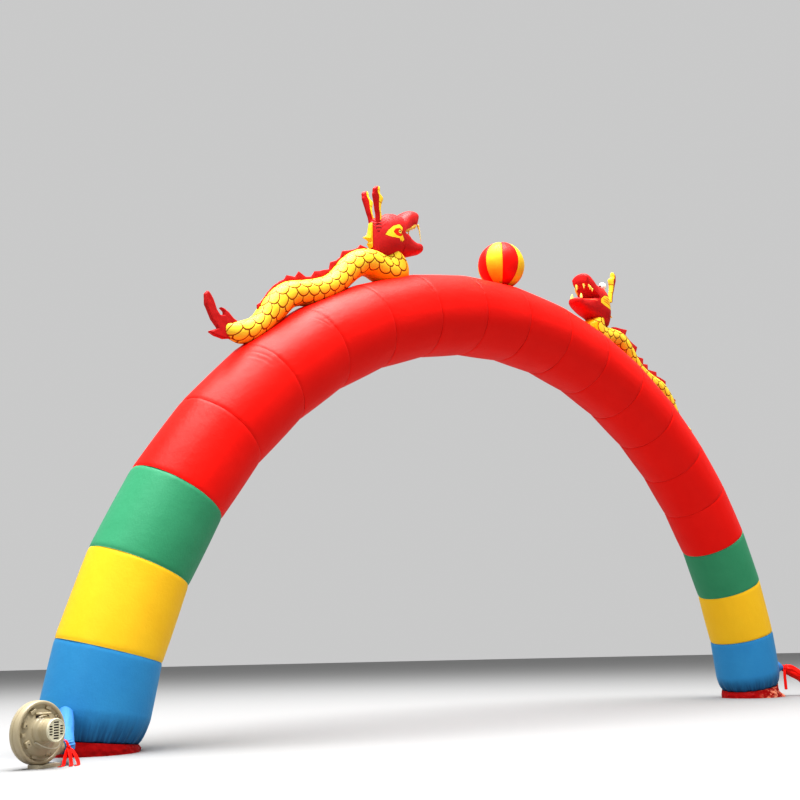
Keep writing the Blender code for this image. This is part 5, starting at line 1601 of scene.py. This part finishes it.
def make_spare_sleeve(blue, red):
    """The unused sleeve on the right leg: its blue stub, its limp red end and the strap between them."""
    form = spare_form(STUB_ROWS, 80, 60, 0.0, 0.86)
    finish_piece("cloth_spare_stub", form, blue, "spare_sleeve_stub")
    form = spare_form(LIMP_ROWS, 112, 170, 1.0, 0.09)
    finish_piece("cloth_spare_end", form, red, "spare_sleeve_end")
    run = (spare_point(1.0, 0.0, 0.0) - spare_point(0.0, 0.0, 0.0)).normalized()
    forms = [hoop(spare_point(*SPARE_TIE_MIDDLE), run, 0.050, 7.0)]
    forms.append(strap([spare_point(*row) for row in SPARE_TIE_END_ROWS], run * SPARE_TIE_WIDTH / 2, 9.0))
    forms.append(knot_form(spare_point(*SPARE_TIE_KNOT), 0.030, 4.0))
    cloth_piece("spare_tie", joined(forms), red)


# Camera, floor and light


def make_camera():
    """The camera, in the photo's place."""
    yaw, pitch, roll = CAMERA_YAW, CAMERA_PITCH, CAMERA_ROLL
    forward = Vector((math.sin(yaw) * math.cos(pitch), math.cos(yaw) * math.cos(pitch), math.sin(pitch)))
    right = Vector((math.cos(yaw), -math.sin(yaw), 0.0))
    up = right.cross(forward)
    right, up = right * math.cos(roll) + up * math.sin(roll), up * math.cos(roll) - right * math.sin(roll)
    camera = linked("camera", bpy.data.cameras.new("camera"))
    camera.matrix_world = Matrix((right, up, -forward)).transposed().to_4x4()
    camera.location = CAMERA_PLACE
    camera.data.lens, camera.data.sensor_width = CAMERA_LENS, CAMERA_SENSOR
    camera.data.shift_x, camera.data.shift_y = CAMERA_SHIFT
    camera.data.clip_end = 300.0
    bpy.context.scene.camera = camera


def make_floor():
    """A wide grey ground, which isn't part of the arch."""
    form = bmesh.new()
    bmesh.ops.create_circle(form, cap_ends=True, segments=96, radius=FLOOR_RADIUS)
    grey = Finish("pale_floor", (0.30, 0.30, 0.30))
    grey.give("Roughness", 0.9)
    floor = linked("floor", mesh_of(form))
    floor.data.materials.append(grey.material)


def make_light(name, place, target, size, power):
    """A round lamp that faces its target."""
    light = bpy.data.lights.new(name, "AREA")
    light.shape, light.size, light.energy = "DISK", size, power
    lamp = linked(name, light)
    lamp.location = place
    lamp.rotation_euler = (Vector(target) - Vector(place)).to_track_quat("-Z", "Y").to_euler()


def make_studio():
    """Camera, ground, world and lamps."""
    make_camera()
    make_floor()
    scene = bpy.context.scene
    scene.world = bpy.data.worlds.new("studio")
    scene.world.use_nodes = True
    sky = scene.world.node_tree.nodes["Background"]
    sky.inputs["Color"].default_value = (1.0, 1.0, 1.0, 1.0)
    sky.inputs["Strength"].default_value = 0.45
    scene.view_settings.view_transform = "Standard"
    scene.view_settings.look = "High Contrast"
    make_light("key", (-4.0, -1.0, 26.0), (0.0, 0.0, 2.0), 24.0, 15500.0)
    make_light("fill", (-24.0, -6.0, 10.0), (-4.0, 0.0, 2.0), 12.0, 500.0)


def main():
    """The studio, then every piece of the arch."""
    make_studio()
    sewn = {
        slot: cloth_finish(slot, *CLOTHS[slot], edge, GATHER_SHADE if slot == "blue_cloth" else None)
        for slot, edge in SEAM_EDGES.items()
    }
    plain = {
        slot: cloth_finish(f"plain_{slot}", *CLOTHS[slot])
        for slot in ("red_cloth", "yellow_cloth", "pale_blue_cloth", "orange_cloth")
    }
    skirt_reds = (0.46, 0.006, 0.007), (0.25, 0.001, 0.004)
    skirts = {
        -1: cloth_finish("skirt_cloth", *skirt_reds),
        # the right skirt's last colour is the pale painted highlight on its crumples
        1: crumpled_finish("crumpled_skirt_cloth", *skirt_reds, (0.95, 0.38, 0.24)),
    }
    make_tube(sewn, skirts)
    make_ball(plain)
    make_dragons(plain["orange_cloth"])
    olive = plastic_finish("olive_plastic", (0.44, 0.385, 0.265), (0.26, 0.195, 0.12), 0.30)
    pale = plastic_finish("pale_plastic", (0.62, 0.59, 0.45), (0.52, 0.47, 0.34), 0.42)
    rubber = plastic_finish("pale_rubber", (0.60, 0.57, 0.47), (0.50, 0.46, 0.36), 0.50)
    # dark finish for the screw heads, and for the painted shade under the grip and behind the grille
    dark = plastic_finish("dark_metal_and_painted_shade", (0.035, 0.022, 0.018), (0.02, 0.013, 0.010), 0.45)
    make_blower(olive, pale, rubber, dark)
    make_sleeve(plain["pale_blue_cloth"])
    make_sleeve_tie(plain["red_cloth"])
    make_spare_sleeve(plain["pale_blue_cloth"], plain["red_cloth"])


main()
